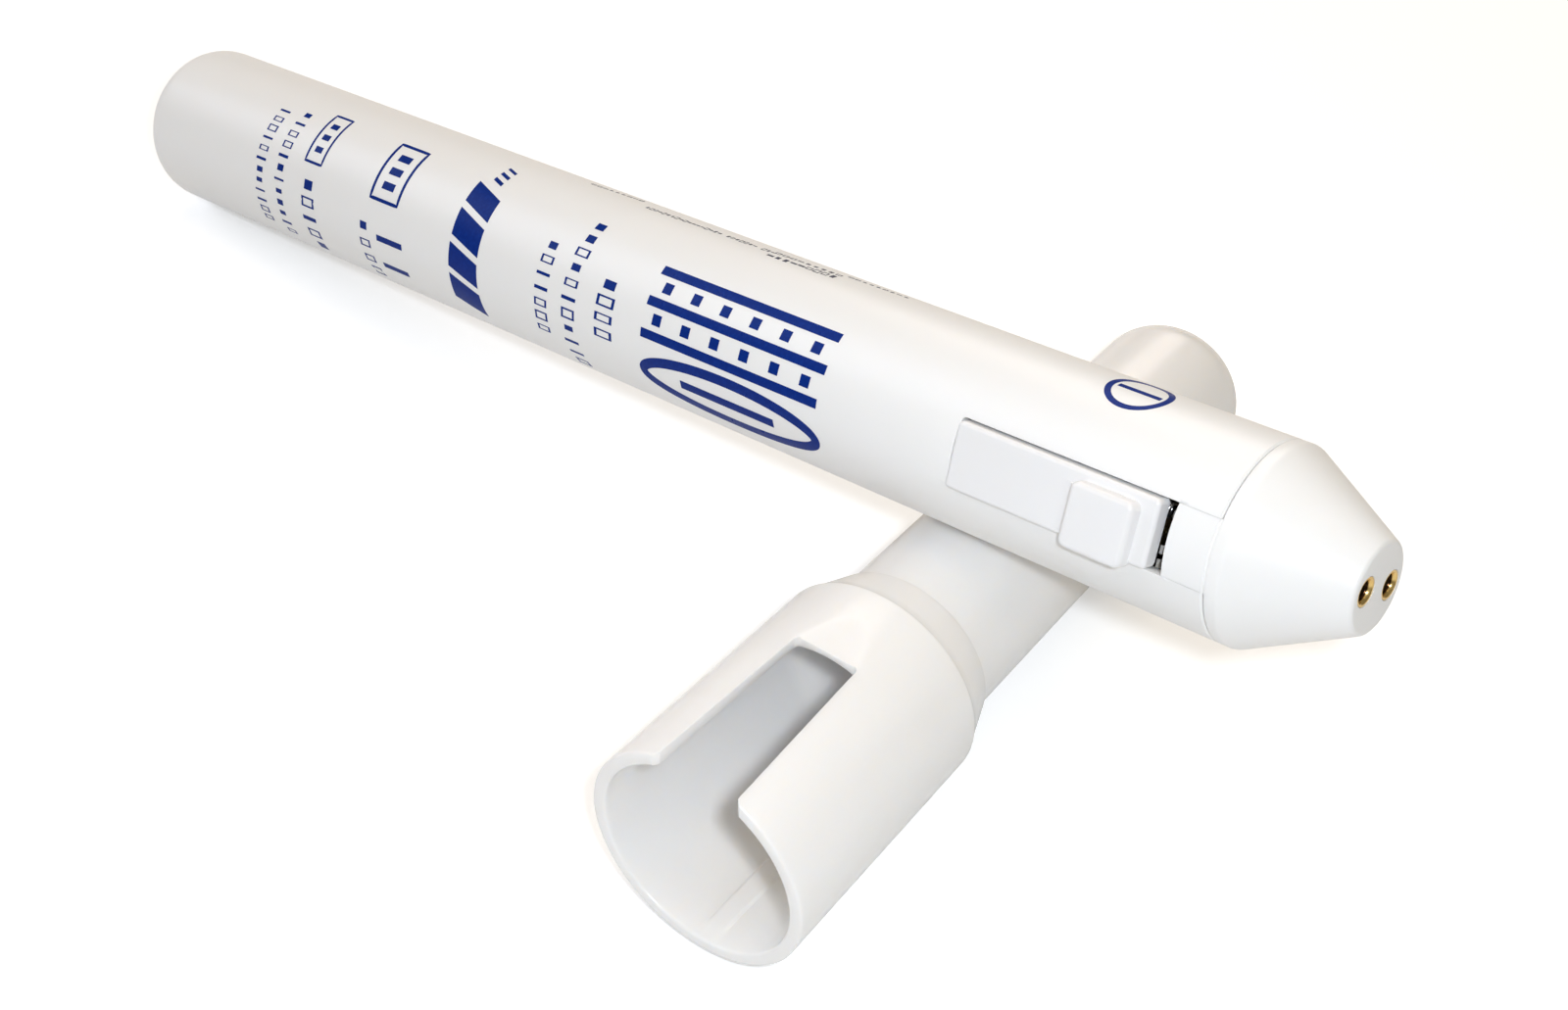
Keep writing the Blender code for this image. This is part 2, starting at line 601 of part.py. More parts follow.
def make_slider(slider, plastic, brass):
    """The thumb slider: a slab in the window, a raised button, and a flanged foot inside."""
    origin = (SLAB_REAR, 0.0, 0.0)
    half = 0.5 * SLAB_WIDTH
    slab = block(SLAB_REAR, SLAB_FRONT, -half, half, SLAB_BOTTOM, SLAB_TOP)
    soften_top(slab, SLAB_TOP, SLAB_ROUNDING)
    body = finish_mesh(slab, "switch_slider", plastic, slider, origin)
    body.location = (0.0, 0.0, 0.0)

    top = SLAB_TOP + BUTTON_HEIGHT
    foot = SLAB_TOP - BUTTON_SINK
    side = 0.5 * BUTTON_WIDTH
    button = block(BUTTON_REAR, BUTTON_REAR + BUTTON_LENGTH,
                   BUTTON_OFFSET - side, BUTTON_OFFSET + side, foot, top)
    middle = Vector((BUTTON_REAR + 0.5 * BUTTON_LENGTH, BUTTON_OFFSET))
    for vert in button.verts:
        if vert.co.z > foot + 1e-6:
            vert.co.x += math.copysign(BUTTON_DRAFT, middle.x - vert.co.x)
            vert.co.y += math.copysign(BUTTON_DRAFT, middle.y - vert.co.y)
    soften_top(button, top, BUTTON_ROUNDING)
    raised = finish_mesh(button, "slider_button", plastic, slider, origin)
    raised.location = (0.0, 0.0, 0.0)
    combine(body, raised, "UNION")

    stem = block(FLANGE_REAR, FLANGE_FRONT, -0.5 * STEM_WIDTH, 0.5 * STEM_WIDTH,
                 FLANGE_HEIGHT + 0.5 * FLANGE_THICKNESS, SLAB_BOTTOM + 0.4 * SLAB_THICKNESS)
    stem = finish_mesh(stem, "slider_stem", plastic, slider, origin)
    stem.location = (0.0, 0.0, 0.0)
    combine(body, stem, "UNION")
    flange = block(FLANGE_REAR, FLANGE_FRONT + SEAM_GAP, -0.5 * FLANGE_WIDTH, 0.5 * FLANGE_WIDTH,
                   FLANGE_HEIGHT, FLANGE_HEIGHT + FLANGE_THICKNESS)
    flange = finish_mesh(flange, "slider_flange", plastic, slider, origin)
    flange.location = (0.0, 0.0, 0.0)
    combine(body, flange, "UNION")

    deck = FLANGE_HEIGHT - REST_GAP - 0.5 * SHEET
    touch = STRAP_HEIGHT + SHEET + REST_GAP
    path = [(FLANGE_REAR + BRIDGE_TOE, touch + BRIDGE_TOE_LIFT), (FLANGE_REAR + BRIDGE_TOUCH, touch)]
    path.append((FLANGE_REAR + BRIDGE_RISE, deck))
    path.append((BRIDGE_TAB, deck))
    path.append((BRIDGE_TAB, LEAF_TOP - REST_GAP))
    bridge = finish_mesh(ribbon(path, BRIDGE_WIDTH, BRIDGE_SIDE), "contact_bridge", brass, slider, origin)
    bridge.location = (0.0, 0.0, 0.0)
    return body


def make_frame_moulding(head, plastic):
    """The round moulding inside the tube, with a T-shaped guide for the slider's flange."""
    radius = SPIGOT_RADIUS
    profile = [(FRAME_REAR, 0.0), (FRAME_REAR, radius - TUBE_EDGE), (FRAME_REAR + TUBE_EDGE, radius),
               (FRAME_FRONT, radius), (FRAME_FRONT, 0.0)]
    frame = finish_mesh(revolve(profile, 48), "switch_frame", plastic, head)

    past = FRAME_FRONT + CUT_MARGIN
    guide_rear = FLANGE_REAR - SLIDE_GAP
    slot_half = 0.5 * FLANGE_WIDTH + SLIDE_GAP
    stem_half = 0.5 * STEM_WIDTH + SLIDE_GAP
    tee = [(-slot_half, FLANGE_HEIGHT - SLIDE_GAP), (slot_half, FLANGE_HEIGHT - SLIDE_GAP)]
    tee.append((slot_half, FLANGE_HEIGHT + FLANGE_THICKNESS + SLIDE_GAP))
    tee.append((stem_half, FLANGE_HEIGHT + FLANGE_THICKNESS + SLIDE_GAP))
    tee.append((stem_half, TUBE_RADIUS))
    tee.append((-stem_half, TUBE_RADIUS))
    tee.append((-stem_half, FLANGE_HEIGHT + FLANGE_THICKNESS + SLIDE_GAP))
    tee.append((-slot_half, FLANGE_HEIGHT + FLANGE_THICKNESS + SLIDE_GAP))
    guide = along_x(tee, guide_rear, past)
    combine(frame, finish_mesh(guide, "guide_cutter", plastic, head), "DIFFERENCE")

    channel_half = 0.5 * CHANNEL_WIDTH
    channel = block(FRAME_REAR - CUT_MARGIN, past, -channel_half, channel_half, FRAME_FLOOR,
                    FLANGE_HEIGHT - 0.5 * SLIDE_GAP)
    combine(frame, finish_mesh(channel, "channel_cutter", plastic, head), "DIFFERENCE")

    hollow_radius = radius - FRAME_SHELL
    half_round = arc((0.0, 0.0), hollow_radius, 0.0, -180.0, 16)
    hollow = along_x(half_round, FRAME_REAR + FRAME_REAR_WALL, past)
    combine(frame, finish_mesh(hollow, "hollow_cutter", plastic, head), "DIFFERENCE")

    wiper_half = 0.5 * STRIP_WIDTH + REST_GAP
    flat = -(STRIP_CENTRE - SHEET - 2 * REST_GAP) + SHEET + REST_GAP
    groove = block(FRAME_REAR - CUT_MARGIN, past, -wiper_half, wiper_half, -TUBE_RADIUS, flat)
    combine(frame, finish_mesh(groove, "wiper_groove_cutter", plastic, head), "DIFFERENCE")

    for label, sign in (("left", 1.0), ("right", -1.0)):
        middle = sign * (hollow_radius - LUG_INSET - 0.5 * LUG_WIDTH)
        lug = block(FRAME_FRONT - 0.7 * LUG_REACH, FRAME_FRONT + LUG_REACH,
                    middle - 0.5 * LUG_WIDTH, middle + 0.5 * LUG_WIDTH,
                    0.6 * FRAME_FLOOR - LUG_HEIGHT, 0.6 * FRAME_FLOOR)
        combine(frame, finish_mesh(lug, "frame_lug_" + label, plastic, head), "UNION")
    return frame


def along_x(outline, start, end):
    """Extrude an outline of (y, z) points along X."""
    bm = bmesh.new()
    face = bm.faces.new([bm.verts.new((start, y, z)) for y, z in outline])
    result = bmesh.ops.extrude_face_region(bm, geom=[face])
    moved = [item for item in result["geom"] if isinstance(item, bmesh.types.BMVert)]
    bmesh.ops.translate(bm, verts=moved, vec=Vector((end - start, 0.0, 0.0)))
    return bm


def make_head_contacts(head, steel, brass):
    """The straps that carry the current through the switch to the sockets, and the return."""
    plate = CELLS_END + REST_GAP + 0.5 * SHEET
    path = [(plate, -CELL_NUB_RADIUS), (plate, STRAP_HEIGHT), (FLANGE_REAR + STRAP_REACH, STRAP_HEIGHT)]
    finish_mesh(ribbon(path, STRAP_WIDTH), "positive_contact", brass, head)

    tail_top = 0.5 * SOCKET_SPACING + SOCKET_BODY
    run = tail_top + REST_GAP + 0.5 * SHEET
    path = [(LEAF_FACE, LEAF_TOP), (LEAF_FACE, run), (STRAP_END, run)]
    strap = finish_mesh(ribbon(path, LEAF_WIDTH, LEAF_SIDE), "front_contact_strap", steel, head)
    notch = block(LEAF_FACE - CUT_MARGIN / 3, LEAF_FACE + CUT_MARGIN / 3, LEAF_SIDE - 0.5 * LEAF_NOTCH,
                  LEAF_SIDE + 0.5 * LEAF_NOTCH, run + LEAF_NOTCH_FOOT, TUBE_RADIUS)
    combine(strap, finish_mesh(notch, "leaf_notch_cutter", steel, head), "DIFFERENCE")
    low = block(LEAF_FACE - CUT_MARGIN / 3, LEAF_FACE + CUT_MARGIN / 3, LEAF_SIDE - LEAF_WIDTH,
                LEAF_SIDE - 0.5 * LEAF_NOTCH, LEAF_TOP - LEAF_STEP, TUBE_RADIUS)
    combine(strap, finish_mesh(low, "leaf_corner_cutter", steel, head), "DIFFERENCE")

    strip_face = -(STRIP_CENTRE - 0.5 * SHEET)
    rub = strip_face + REST_GAP + 0.5 * SHEET
    cruise = rub + REST_GAP
    path = []
    for step, height in enumerate((cruise, rub, rub, cruise)):
        path.append((FRAME_REAR + WIPER_START + step * WIPER_RAMP, height))
    path.append((FRAME_FRONT + WIPER_BEND_START, cruise))
    path.append((FRAME_FRONT + WIPER_BEND_END, -run))
    path.append((STRAP_END, -run))
    finish_mesh(ribbon(path, STRAP_WIDTH), "return_wiper", brass, head)


def make_return_spring(head, steel):
    """The small coil that pushes the slider back when the thumb lets go."""
    start = FLANGE_FRONT + SEAM_GAP + REST_GAP + RETURN_WIRE
    end = WINDOW_FRONT + SEAM_GAP - REST_GAP - RETURN_WIRE
    spring = coil(start, end, RETURN_RADIUS, RETURN_RADIUS, RETURN_TURNS, RETURN_WIRE, 12,
                  centre=(RETURN_SIDE, RETURN_HEIGHT))
    finish_mesh(spring, "return_spring", steel, head)


def make_cap(cap, plastic):
    """The protective cap: a slotted bell, a shoulder and a thinner neck with a domed end."""
    shoulder_end = CAP_BELL_LENGTH + CAP_SHOULDER
    dome_base = shoulder_end + CAP_NECK_LENGTH
    rim = CAP_RIM_ROUNDING
    outer = [(rim, CAP_MOUTH_RADIUS), (CAP_BELL_LENGTH - rim, CAP_BELL_RADIUS)]
    outer.append((CAP_BELL_LENGTH + rim, CAP_BELL_RADIUS - rim))
    outer.append((shoulder_end - CAP_NECK_STEP, CAP_SHOULDER_EDGE))
    outer.append((shoulder_end, 0.7 * CAP_NECK_ROOT + 0.3 * CAP_SHOULDER_EDGE))
    outer.append((shoulder_end + 0.3 * CAP_SHOULDER, CAP_NECK_ROOT))
    outer.extend(dome(dome_base, CAP_DOME, CAP_NECK_RADIUS, 2.0, 9)[::-1])

    bell_bore = CAP_MOUTH_RADIUS - CAP_WALL
    neck_bore = CAP_NECK_ROOT - CAP_WALL
    tip_bore = CAP_NECK_RADIUS - CAP_WALL - CAP_BORE_DRAFT
    step = CAP_BELL_LENGTH
    inner = dome(dome_base, CAP_DOME - CAP_WALL, tip_bore, 2.0, 7)
    inner.append((shoulder_end, neck_bore))
    inner.append((step, bell_bore - CAP_BORE_DRAFT))
    inner.append((rim, bell_bore))
    inner.append((0.0, bell_bore + rim))
    inner.append((0.0, CAP_MOUTH_RADIUS - rim))
    shell = revolve(inner + outer, ROUND)
    body = finish_mesh(shell, "protective_cap", plastic, cap)

    wide = SLOT_MOUTH_HALF
    narrow = SLOT_END_HALF
    outline = [(-CUT_MARGIN, wide + SLOT_CORNER), (0.0, wide + SLOT_CORNER), (SLOT_CORNER, wide)]
    outline.extend(arc((SLOT_LENGTH - SLOT_CORNER, narrow - SLOT_CORNER), SLOT_CORNER, 90.0, 0.0, 3))
    mirrored = [(x, -y) for x, y in reversed(outline)]
    slot = prism(outline + mirrored, 0.5 * bell_bore, CAP_MOUTH_RADIUS + CUT_MARGIN)
    combine(body, finish_mesh(slot, "slot_cutter", plastic, cap), "DIFFERENCE")

    taper = (CAP_MOUTH_RADIUS - CAP_BELL_RADIUS) / CAP_BELL_LENGTH
    surface_end = CAP_MOUTH_RADIUS - taper * (SLOT_LENGTH + RAMP_LENGTH)
    surface_slot = CAP_MOUTH_RADIUS - taper * SLOT_LENGTH
    depth = surface_slot - math.sqrt(surface_slot ** 2 - SLOT_END_HALF ** 2)
    slope = (surface_end - surface_slot + depth) / RAMP_LENGTH
    rear_x = SLOT_LENGTH - RAMP_MARGIN
    front_x = SLOT_LENGTH + RAMP_LENGTH + RAMP_MARGIN
    ramp = [(rear_x, surface_slot - depth - slope * RAMP_MARGIN)]
    ramp.append((front_x, surface_end + slope * RAMP_MARGIN))
    ramp.append((front_x, CAP_MOUTH_RADIUS + CUT_MARGIN))
    ramp.append((rear_x, CAP_MOUTH_RADIUS + CUT_MARGIN))
    wedge = prism(ramp, -2 * SLOT_END_HALF, 2 * SLOT_END_HALF, axis="Y")
    combine(body, finish_mesh(wedge, "ramp_cutter", plastic, cap), "DIFFERENCE")

    rib_foot = bell_bore + 0.3 * CAP_WALL
    rib = block(RIB_START, RIB_START + RIB_LENGTH, -0.5 * RIB_WIDTH, 0.5 * RIB_WIDTH,
                bell_bore - RIB_HEIGHT, rib_foot)
    turn = Matrix.Rotation(-RIB_ROLL, 4, "X")
    bmesh.ops.transform(rib, matrix=turn, verts=rib.verts)
    combine(body, finish_mesh(rib, "bell_rib", plastic, cap), "UNION")
    return body


def lay_out(root):
    """Place the pen's frame and the cap's frame so that both rest as they lie on a table.

    The cap lies on the rear edge of its bell and on the far end of its neck, and the pen on
    the edge of its rear dome and on the cap's neck.
    """
    bell_edge = CAP_BELL_LENGTH - CAP_RIM_ROUNDING
    neck_end = CAP_BELL_LENGTH + CAP_SHOULDER + CAP_NECK_LENGTH
    cap_pitch = math.atan((CAP_BELL_RADIUS - CAP_NECK_RADIUS) / (neck_end - bell_edge))
    mouth_height = CAP_BELL_RADIUS * math.cos(cap_pitch) + bell_edge * math.sin(cap_pitch)
    cap_axis = Vector((math.cos(CAP_HEADING) * math.cos(cap_pitch),
                       math.sin(CAP_HEADING) * math.cos(cap_pitch), -math.sin(cap_pitch)))

    share = (CROSSING_ON_CAP - CAP_BELL_LENGTH - CAP_SHOULDER) / CAP_NECK_LENGTH
    neck = CAP_NECK_ROOT + (CAP_NECK_RADIUS - CAP_NECK_ROOT) * share
    between = TUBE_RADIUS + neck + REST_GAP
    crossing_height = mouth_height + CROSSING_ON_CAP * cap_axis.z
    rear_end = dome(0.0, REAR_DOME, TUBE_RADIUS, REAR_DOME_POWER, REAR_DOME_STEPS, outward=-1.0)
    pitch = math.radians(8.0)
    for _ in range(20):
        pen_axis = Vector((math.cos(pitch), 0.0, math.sin(pitch)))
        normal = pen_axis.cross(cap_axis).normalized()
        rear_height = max(r * math.cos(pitch) - x * math.sin(pitch) for x, r in rear_end)
        pitch = math.asin((crossing_height + between * normal.z - rear_height) / CROSSING_ON_PEN)

    rear = Vector((0.0, 0.0, rear_height))
    on_pen = rear + pen_axis * CROSSING_ON_PEN
    mouth = on_pen - normal * between - cap_axis * CROSSING_ON_CAP
    pen = make_frame("pen_frame", root, rear, (SWITCH_ROLL, -pitch, 0.0))
    cap = make_frame("cap_frame", root, mouth, (0.0, cap_pitch, CAP_HEADING))
    return pen, cap


def centre_on_origin(root):
    """Move everything so that the whole object stands on z = 0, centred about the origin."""
    bpy.context.view_layer.update()
    graph = bpy.context.evaluated_depsgraph_get()
    low = Vector((1.0, 1.0, 1.0)) * 1000.0
    high = -low
    for piece in bpy.context.scene.objects:
        if piece.type != "MESH" or piece.hide_render:
            continue
        shown = piece.evaluated_get(graph)
        for vert in shown.data.vertices:
            point = shown.matrix_world @ vert.co
            low = Vector(map(min, low, point))
            high = Vector(map(max, high, point))
    root.location = (-0.5 * (low.x + high.x), -0.5 * (low.y + high.y), -low.z)
    bpy.context.view_layer.update()


def main():
    clear_scene()
    white = make_material("white_plastic", (0.91, 0.905, 0.90), 0.35)
    cap_white = make_material("cap_plastic", (0.91, 0.89, 0.86), 0.3)
    grey = make_material("frame_plastic", (0.25, 0.25, 0.27), 0.5)
    gold = make_material("gold_plate", (0.83, 0.62, 0.26), 0.25, 1.0)
    brass = make_material("brass", (0.78, 0.62, 0.32), 0.3, 1.0)
    steel = make_material("nickel_steel", (0.62, 0.62, 0.60), 0.3, 1.0)

    root = make_frame("cautery_pen")
    pen, cap = lay_out(root)
    head = make_frame("head_frame", pen)
    slider = make_frame("slider_frame", head, (SLAB_REAR, 0.0, 0.0))

    make_tube(pen, white)
    make_cells(pen, steel)
    make_rear_contacts(pen, steel, brass)
    make_nose(head, white)
    make_sockets(head, gold)
    make_frame_moulding(head, grey)
    make_head_contacts(head, steel, brass)
    make_return_spring(head, steel)
    make_slider(slider, white, brass)
    make_cap(cap, cap_white)
    centre_on_origin(root)


main()
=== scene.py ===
# %% [markdown]
# # A battery cautery pen across its cap
#
# The pen is a white moulded tube with a thumb slider. It lies across the slotted cap that protects
# its nose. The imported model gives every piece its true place, so this script only dresses them: it
# sets the camera and the light, remakes the shells with finer surfaces, gives each material its
# grain, and prints the blue marks.

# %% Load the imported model
import json
from math import asin, atan, atan2, cos, degrees, hypot, pi, radians, sin, sqrt, tau

import bmesh
import bpy
from mathutils import Matrix, Vector


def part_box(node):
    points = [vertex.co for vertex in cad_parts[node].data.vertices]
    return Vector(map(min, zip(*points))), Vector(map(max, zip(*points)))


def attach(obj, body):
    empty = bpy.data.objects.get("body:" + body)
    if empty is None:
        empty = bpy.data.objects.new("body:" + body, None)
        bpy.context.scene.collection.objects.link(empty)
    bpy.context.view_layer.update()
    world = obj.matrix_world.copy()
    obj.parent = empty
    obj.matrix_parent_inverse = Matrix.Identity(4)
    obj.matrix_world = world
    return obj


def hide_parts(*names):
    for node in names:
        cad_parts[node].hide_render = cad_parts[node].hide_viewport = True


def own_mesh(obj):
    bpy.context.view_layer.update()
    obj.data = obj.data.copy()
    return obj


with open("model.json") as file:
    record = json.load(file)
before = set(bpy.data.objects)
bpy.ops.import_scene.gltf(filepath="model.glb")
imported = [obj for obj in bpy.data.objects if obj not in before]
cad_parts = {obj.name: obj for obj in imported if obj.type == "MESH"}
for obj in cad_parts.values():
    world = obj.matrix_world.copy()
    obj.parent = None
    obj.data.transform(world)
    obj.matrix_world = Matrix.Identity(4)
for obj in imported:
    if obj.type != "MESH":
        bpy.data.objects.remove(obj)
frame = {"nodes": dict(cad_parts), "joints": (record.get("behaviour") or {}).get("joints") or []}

MM = 0.001
TINY = 1e-6           # a length, in metres, that counts as nothing
scene = bpy.context.scene
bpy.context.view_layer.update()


def add_object(name, data):
    """An object in the scene that shows some data."""
    thing = bpy.data.objects.new(name, data)
    scene.collection.objects.link(thing)
    return thing


# %% [markdown]
# ## Where the pen and the cap lie
#
# Sizes on a slanted object are easiest to give along its own axes. The pen's X axis runs to its
# nose, the way its head slides out, so the joint gives it. Its Z axis points at the thumb switch,
# from the lower socket to the upper. The rearmost point of the tube lies on the axis. The cap has
# no joint, so its heading and its tilt are given, and the tip of its dome fixes its place.

# %% The pen's own axes
REAR_DOME = 4.2 * MM


def points_of(node):
    """World positions of a CAD node's points."""
    return [vert.co.copy() for vert in frame["nodes"][node].data.vertices]


def middle_of(node):
    """Middle of a CAD node's box."""
    low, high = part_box(node)
    return (low + high) / 2


def axes_at(origin, x_axis, towards_z):
    """A matrix from places along these axes to places in the world."""
    x_axis = x_axis.normalized()
    y_axis = towards_z.cross(x_axis).normalized()
    turn = Matrix((x_axis, y_axis, x_axis.cross(y_axis))).transposed().to_4x4()
    return Matrix.Translation(origin) @ turn


pen_axis = {joint["name"]: Vector(joint["axis"]) for joint in frame["joints"]}["head_pull"]
towards_switch = middle_of("tip_socket_upper") - middle_of("tip_socket_lower")
rear_pole = min(points_of("body_tube"), key=lambda point: point.dot(pen_axis))
PEN = axes_at(rear_pole + pen_axis * REAR_DOME, pen_axis, towards_switch)
print("pen rises", round(degrees(asin(pen_axis.z)), 2), "degrees towards its nose")

# %% The cap's own axes
CAP_HEADING = radians(94.8)
CAP_BELL_LENGTH = 26.3 * MM
CAP_BELL_RADIUS = 10.55 * MM
CAP_SHOULDER = 4.7 * MM
CAP_NECK_LENGTH = 48.3 * MM
CAP_NECK_RADIUS = 7.82 * MM
CAP_DOME = 5.94 * MM
CAP_RIM = 0.25 * MM   # rounding of the mouth's edge

cap_body = CAP_BELL_LENGTH + CAP_SHOULDER + CAP_NECK_LENGTH
resting_length = cap_body - CAP_BELL_LENGTH + CAP_RIM
cap_tilt = atan((CAP_BELL_RADIUS - CAP_NECK_RADIUS) / resting_length)
cap_axis = Vector((cos(CAP_HEADING) * cos(cap_tilt),
                   sin(CAP_HEADING) * cos(cap_tilt), -sin(cap_tilt)))
cap_tip = max(points_of("protective_cap"), key=lambda point: point.dot(cap_axis))
CAP = axes_at(cap_tip - cap_axis * (cap_body + CAP_DOME), cap_axis, Vector((0.0, 0.0, 1.0)))
print("cap mouth at", [round(value / MM, 1) for value in CAP.translation], "mm")

# %% [markdown]
# ## The camera
#
# The camera comes first, so that every later choice can be judged in the photograph's own view.
# It stands to the right of the cap and looks down at about 44 degrees. Its lens was found by
# matching the outlines of the tube and the cap. A Track To constraint can't give the slight roll
# of a camera held by hand, so its rotation is written out.

# %% Camera
CAMERA_PLACE = Vector((121.780, -118.449, 155.325)) * MM
CAMERA_TURN = (radians(46.4542), radians(-0.1396), radians(41.44))
SENSOR_WIDTH = 36.0
PHOTO_WIDTH = 1600
FOCAL_PIXELS = 2200

camera_data = bpy.data.cameras.new("photo_camera")
camera_data.sensor_width = SENSOR_WIDTH
camera_data.lens = SENSOR_WIDTH * FOCAL_PIXELS / PHOTO_WIDTH
camera_data.clip_start = 0.01
camera = add_object("photo_camera", camera_data)
camera.location = CAMERA_PLACE
camera.rotation_euler = CAMERA_TURN
scene.camera = camera
print("lens", round(camera_data.lens, 1), "mm, camera", round(CAMERA_PLACE.length, 3), "m away")

# %% [markdown]
# ## Light and floor
#
# White plastic on a white ground shows its shape only through soft greys. The photograph was
# taken with a flash, so a small lamp beside the camera gives most of the light. Three larger ones,
# overhead, behind and to the left, fill the sides as the walls of a room would, and a dim world
# fills the rest. The floor adds a little light for the camera, so it reads as white and still
# holds the shadow. All of these are small node trees, so the same helpers build them.

# %% Helpers for node trees
def feed(tree, node, inputs):
    """Give a node's inputs a socket to follow or a value to keep."""
    for label, value in inputs.items():
        if isinstance(value, bpy.types.NodeSocket):
            tree.links.new(value, node.inputs[label])
        else:
            node.inputs[label].default_value = value


def add_node(tree, kind, inputs=None, **settings):
    """Add a node to any kind of tree."""
    node = tree.nodes.new(kind)
    for key, value in settings.items():
        setattr(node, key, value)
    feed(tree, node, inputs or {})
    return node


def grow(tree, kind, inputs=None, output=0, **settings):
    """Add a node and hand back one of its outputs."""
    return add_node(tree, kind, inputs, **settings).outputs[output]


def start_material(name, colour, roughness, metallic=0.0):
    """A new material with its node tree and its Principled shader."""
    material = bpy.data.materials.new(name)
    material.use_nodes = True
    tree = material.node_tree
    shader = tree.nodes["Principled BSDF"]
    feed(tree, shader, {"Base Color": (*colour, 1.0), "Roughness": roughness, "Metallic": metallic})
    return material, tree, shader


print("node helpers ready")

# %% World
WORLD_COLOUR = (1.0, 0.95, 0.82, 1.0)
WORLD_STRENGTH = 0.24
WHITE = (1.0, 1.0, 1.0, 1.0)

scene.view_settings.view_transform = "Standard"
scene.world = bpy.data.worlds.new("studio")
scene.world.use_nodes = True
air = scene.world.node_tree
feed(air, air.nodes["Background"], {"Color": WORLD_COLOUR, "Strength": WORLD_STRENGTH})
ambient = air.nodes["Background"].outputs["Background"]
backdrop = grow(air, "ShaderNodeBackground", {"Color": WHITE, "Strength": 1.0})
seen = grow(air, "ShaderNodeLightPath", output="Is Camera Ray")
either = grow(air, "ShaderNodeMixShader", {0: seen, 1: ambient, 2: backdrop})
feed(air, air.nodes["World Output"], {"Surface": either})
print("world strength", WORLD_STRENGTH)

# %% Lamps
FLASH_RIGHT = 0.014   # the flash lies this far to the right of the lens
FLASH_UP = 0.006      # and this far above it
LAMP_TARGET = Vector((0.0, 0.0, 0.02))

camera_right, camera_up, _ = camera.rotation_euler.to_matrix().transposed()
flash_place = CAMERA_PLACE + camera_right * FLASH_RIGHT + camera_up * FLASH_UP
LAMPS = (             # name, place, size in metres, watts, colour
    ("flash_by_the_camera", flash_place, 0.012, 0.226, (0.84, 0.91, 1.0)),
    ("warm_light_overhead", (0.0, 0.05, 0.55), 0.40, 0.73, (1.0, 0.8, 0.55)),
    ("soft_light_behind", (-0.20, 0.38, 0.35), 0.30, 0.69, (1.0, 0.905, 0.855)),
    ("cool_light_at_the_left", (-0.35, -0.15, 0.30), 0.30, 0.69, (0.785, 0.85, 1.0)),
)

for name, place, size, watts, colour in LAMPS:
    data = bpy.data.lights.new(name, "AREA")
    data.shape = "SQUARE"
    data.size = size
    data.energy = watts
    data.color = colour
    lamp = add_object(name, data)
    lamp.location = place
    lamp.rotation_euler = (LAMP_TARGET - Vector(place)).to_track_quat("-Z", "Y").to_euler()

# %% Floor
FLOOR_HALF = 1.5
FLOOR_COLOUR = (0.88, 0.88, 0.88)
FLOOR_ROUGHNESS = 0.9
FLOOR_SPECULAR = 0.1
FLOOR_LIFT = 0.36     # light that the floor adds for the camera alone

floor_mesh = bpy.data.meshes.new("floor")
corners = [(x * FLOOR_HALF, y * FLOOR_HALF, 0.0) for x, y in ((-1, -1), (1, -1), (1, 1), (-1, 1))]
floor_mesh.from_pydata(corners, [], [(0, 1, 2, 3)])
floor = add_object("floor", floor_mesh)
paper, tree, shader = start_material("white_paper", FLOOR_COLOUR, FLOOR_ROUGHNESS)
shader.inputs["Specular IOR Level"].default_value = FLOOR_SPECULAR
seen = grow(tree, "ShaderNodeLightPath", output="Is Camera Ray")
amount = grow(tree, "ShaderNodeMath", {0: seen, 1: FLOOR_LIFT}, operation="MULTIPLY")
lift = grow(tree, "ShaderNodeEmission", {"Strength": amount})
both = grow(tree, "ShaderNodeAddShader", {0: shader.outputs["BSDF"], 1: lift})
feed(tree, tree.nodes["Material Output"], {"Surface": both})
floor_mesh.materials.append(paper)
print("floor", 2 * FLOOR_HALF, "m across")

# %% [markdown]
# ## Materials
#
# Moulded plastic is never quite even. Its gloss varies a little, its skin has a very fine ripple,
# and handling leaves short faint scuffs. Each of those is a noise texture on Object coordinates,
# which stay still on the piece from any side. The colours are nearly constant, and the life of
# the surface comes from roughness and bump.

# %% Helpers for surfaces
def add_noise(tree, scale, detail, stretch=(1.0, 1.0, 1.0), turn=(0.0, 0.0, 0.0)):
    """Noise with scale features to the metre; a stretch below 1 draws it out along that axis."""
    place = grow(tree, "ShaderNodeTexCoord", output="Object")
    drawn = grow(tree, "ShaderNodeMapping", {"Vector": place, "Scale": stretch, "Rotation": turn})
    inputs = {"Vector": drawn, "Scale": scale, "Detail": detail}
    return grow(tree, "ShaderNodeTexNoise", inputs)


def spread(tree, source, low, high, start=0.3, end=0.7):
    """Map a grey value from start..end to low..high."""
    limits = {"From Min": start, "From Max": end, "To Min": low, "To Max": high}
    return grow(tree, "ShaderNodeMapRange", {"Value": source, **limits})


def mix_colours(tree, share, first, second):
    """Two colours mixed by a grey value; the second may also be a socket."""
    if not isinstance(second, bpy.types.NodeSocket):
        second = (*second, 1.0)
    inputs = {0: share, 6: (*first, 1.0), 7: second}
    return grow(tree, "ShaderNodeMix", inputs, output=2, data_type="RGBA")


def add_bump(tree, height, distance, strength, after=None):
    """Bump from a grey value; after is an earlier bump that this one adds to."""
    inputs = {"Height": height, "Distance": distance, "Strength": strength}
    if after:
        inputs["Normal"] = after
    return grow(tree, "ShaderNodeBump", inputs)


print("surface helpers ready")

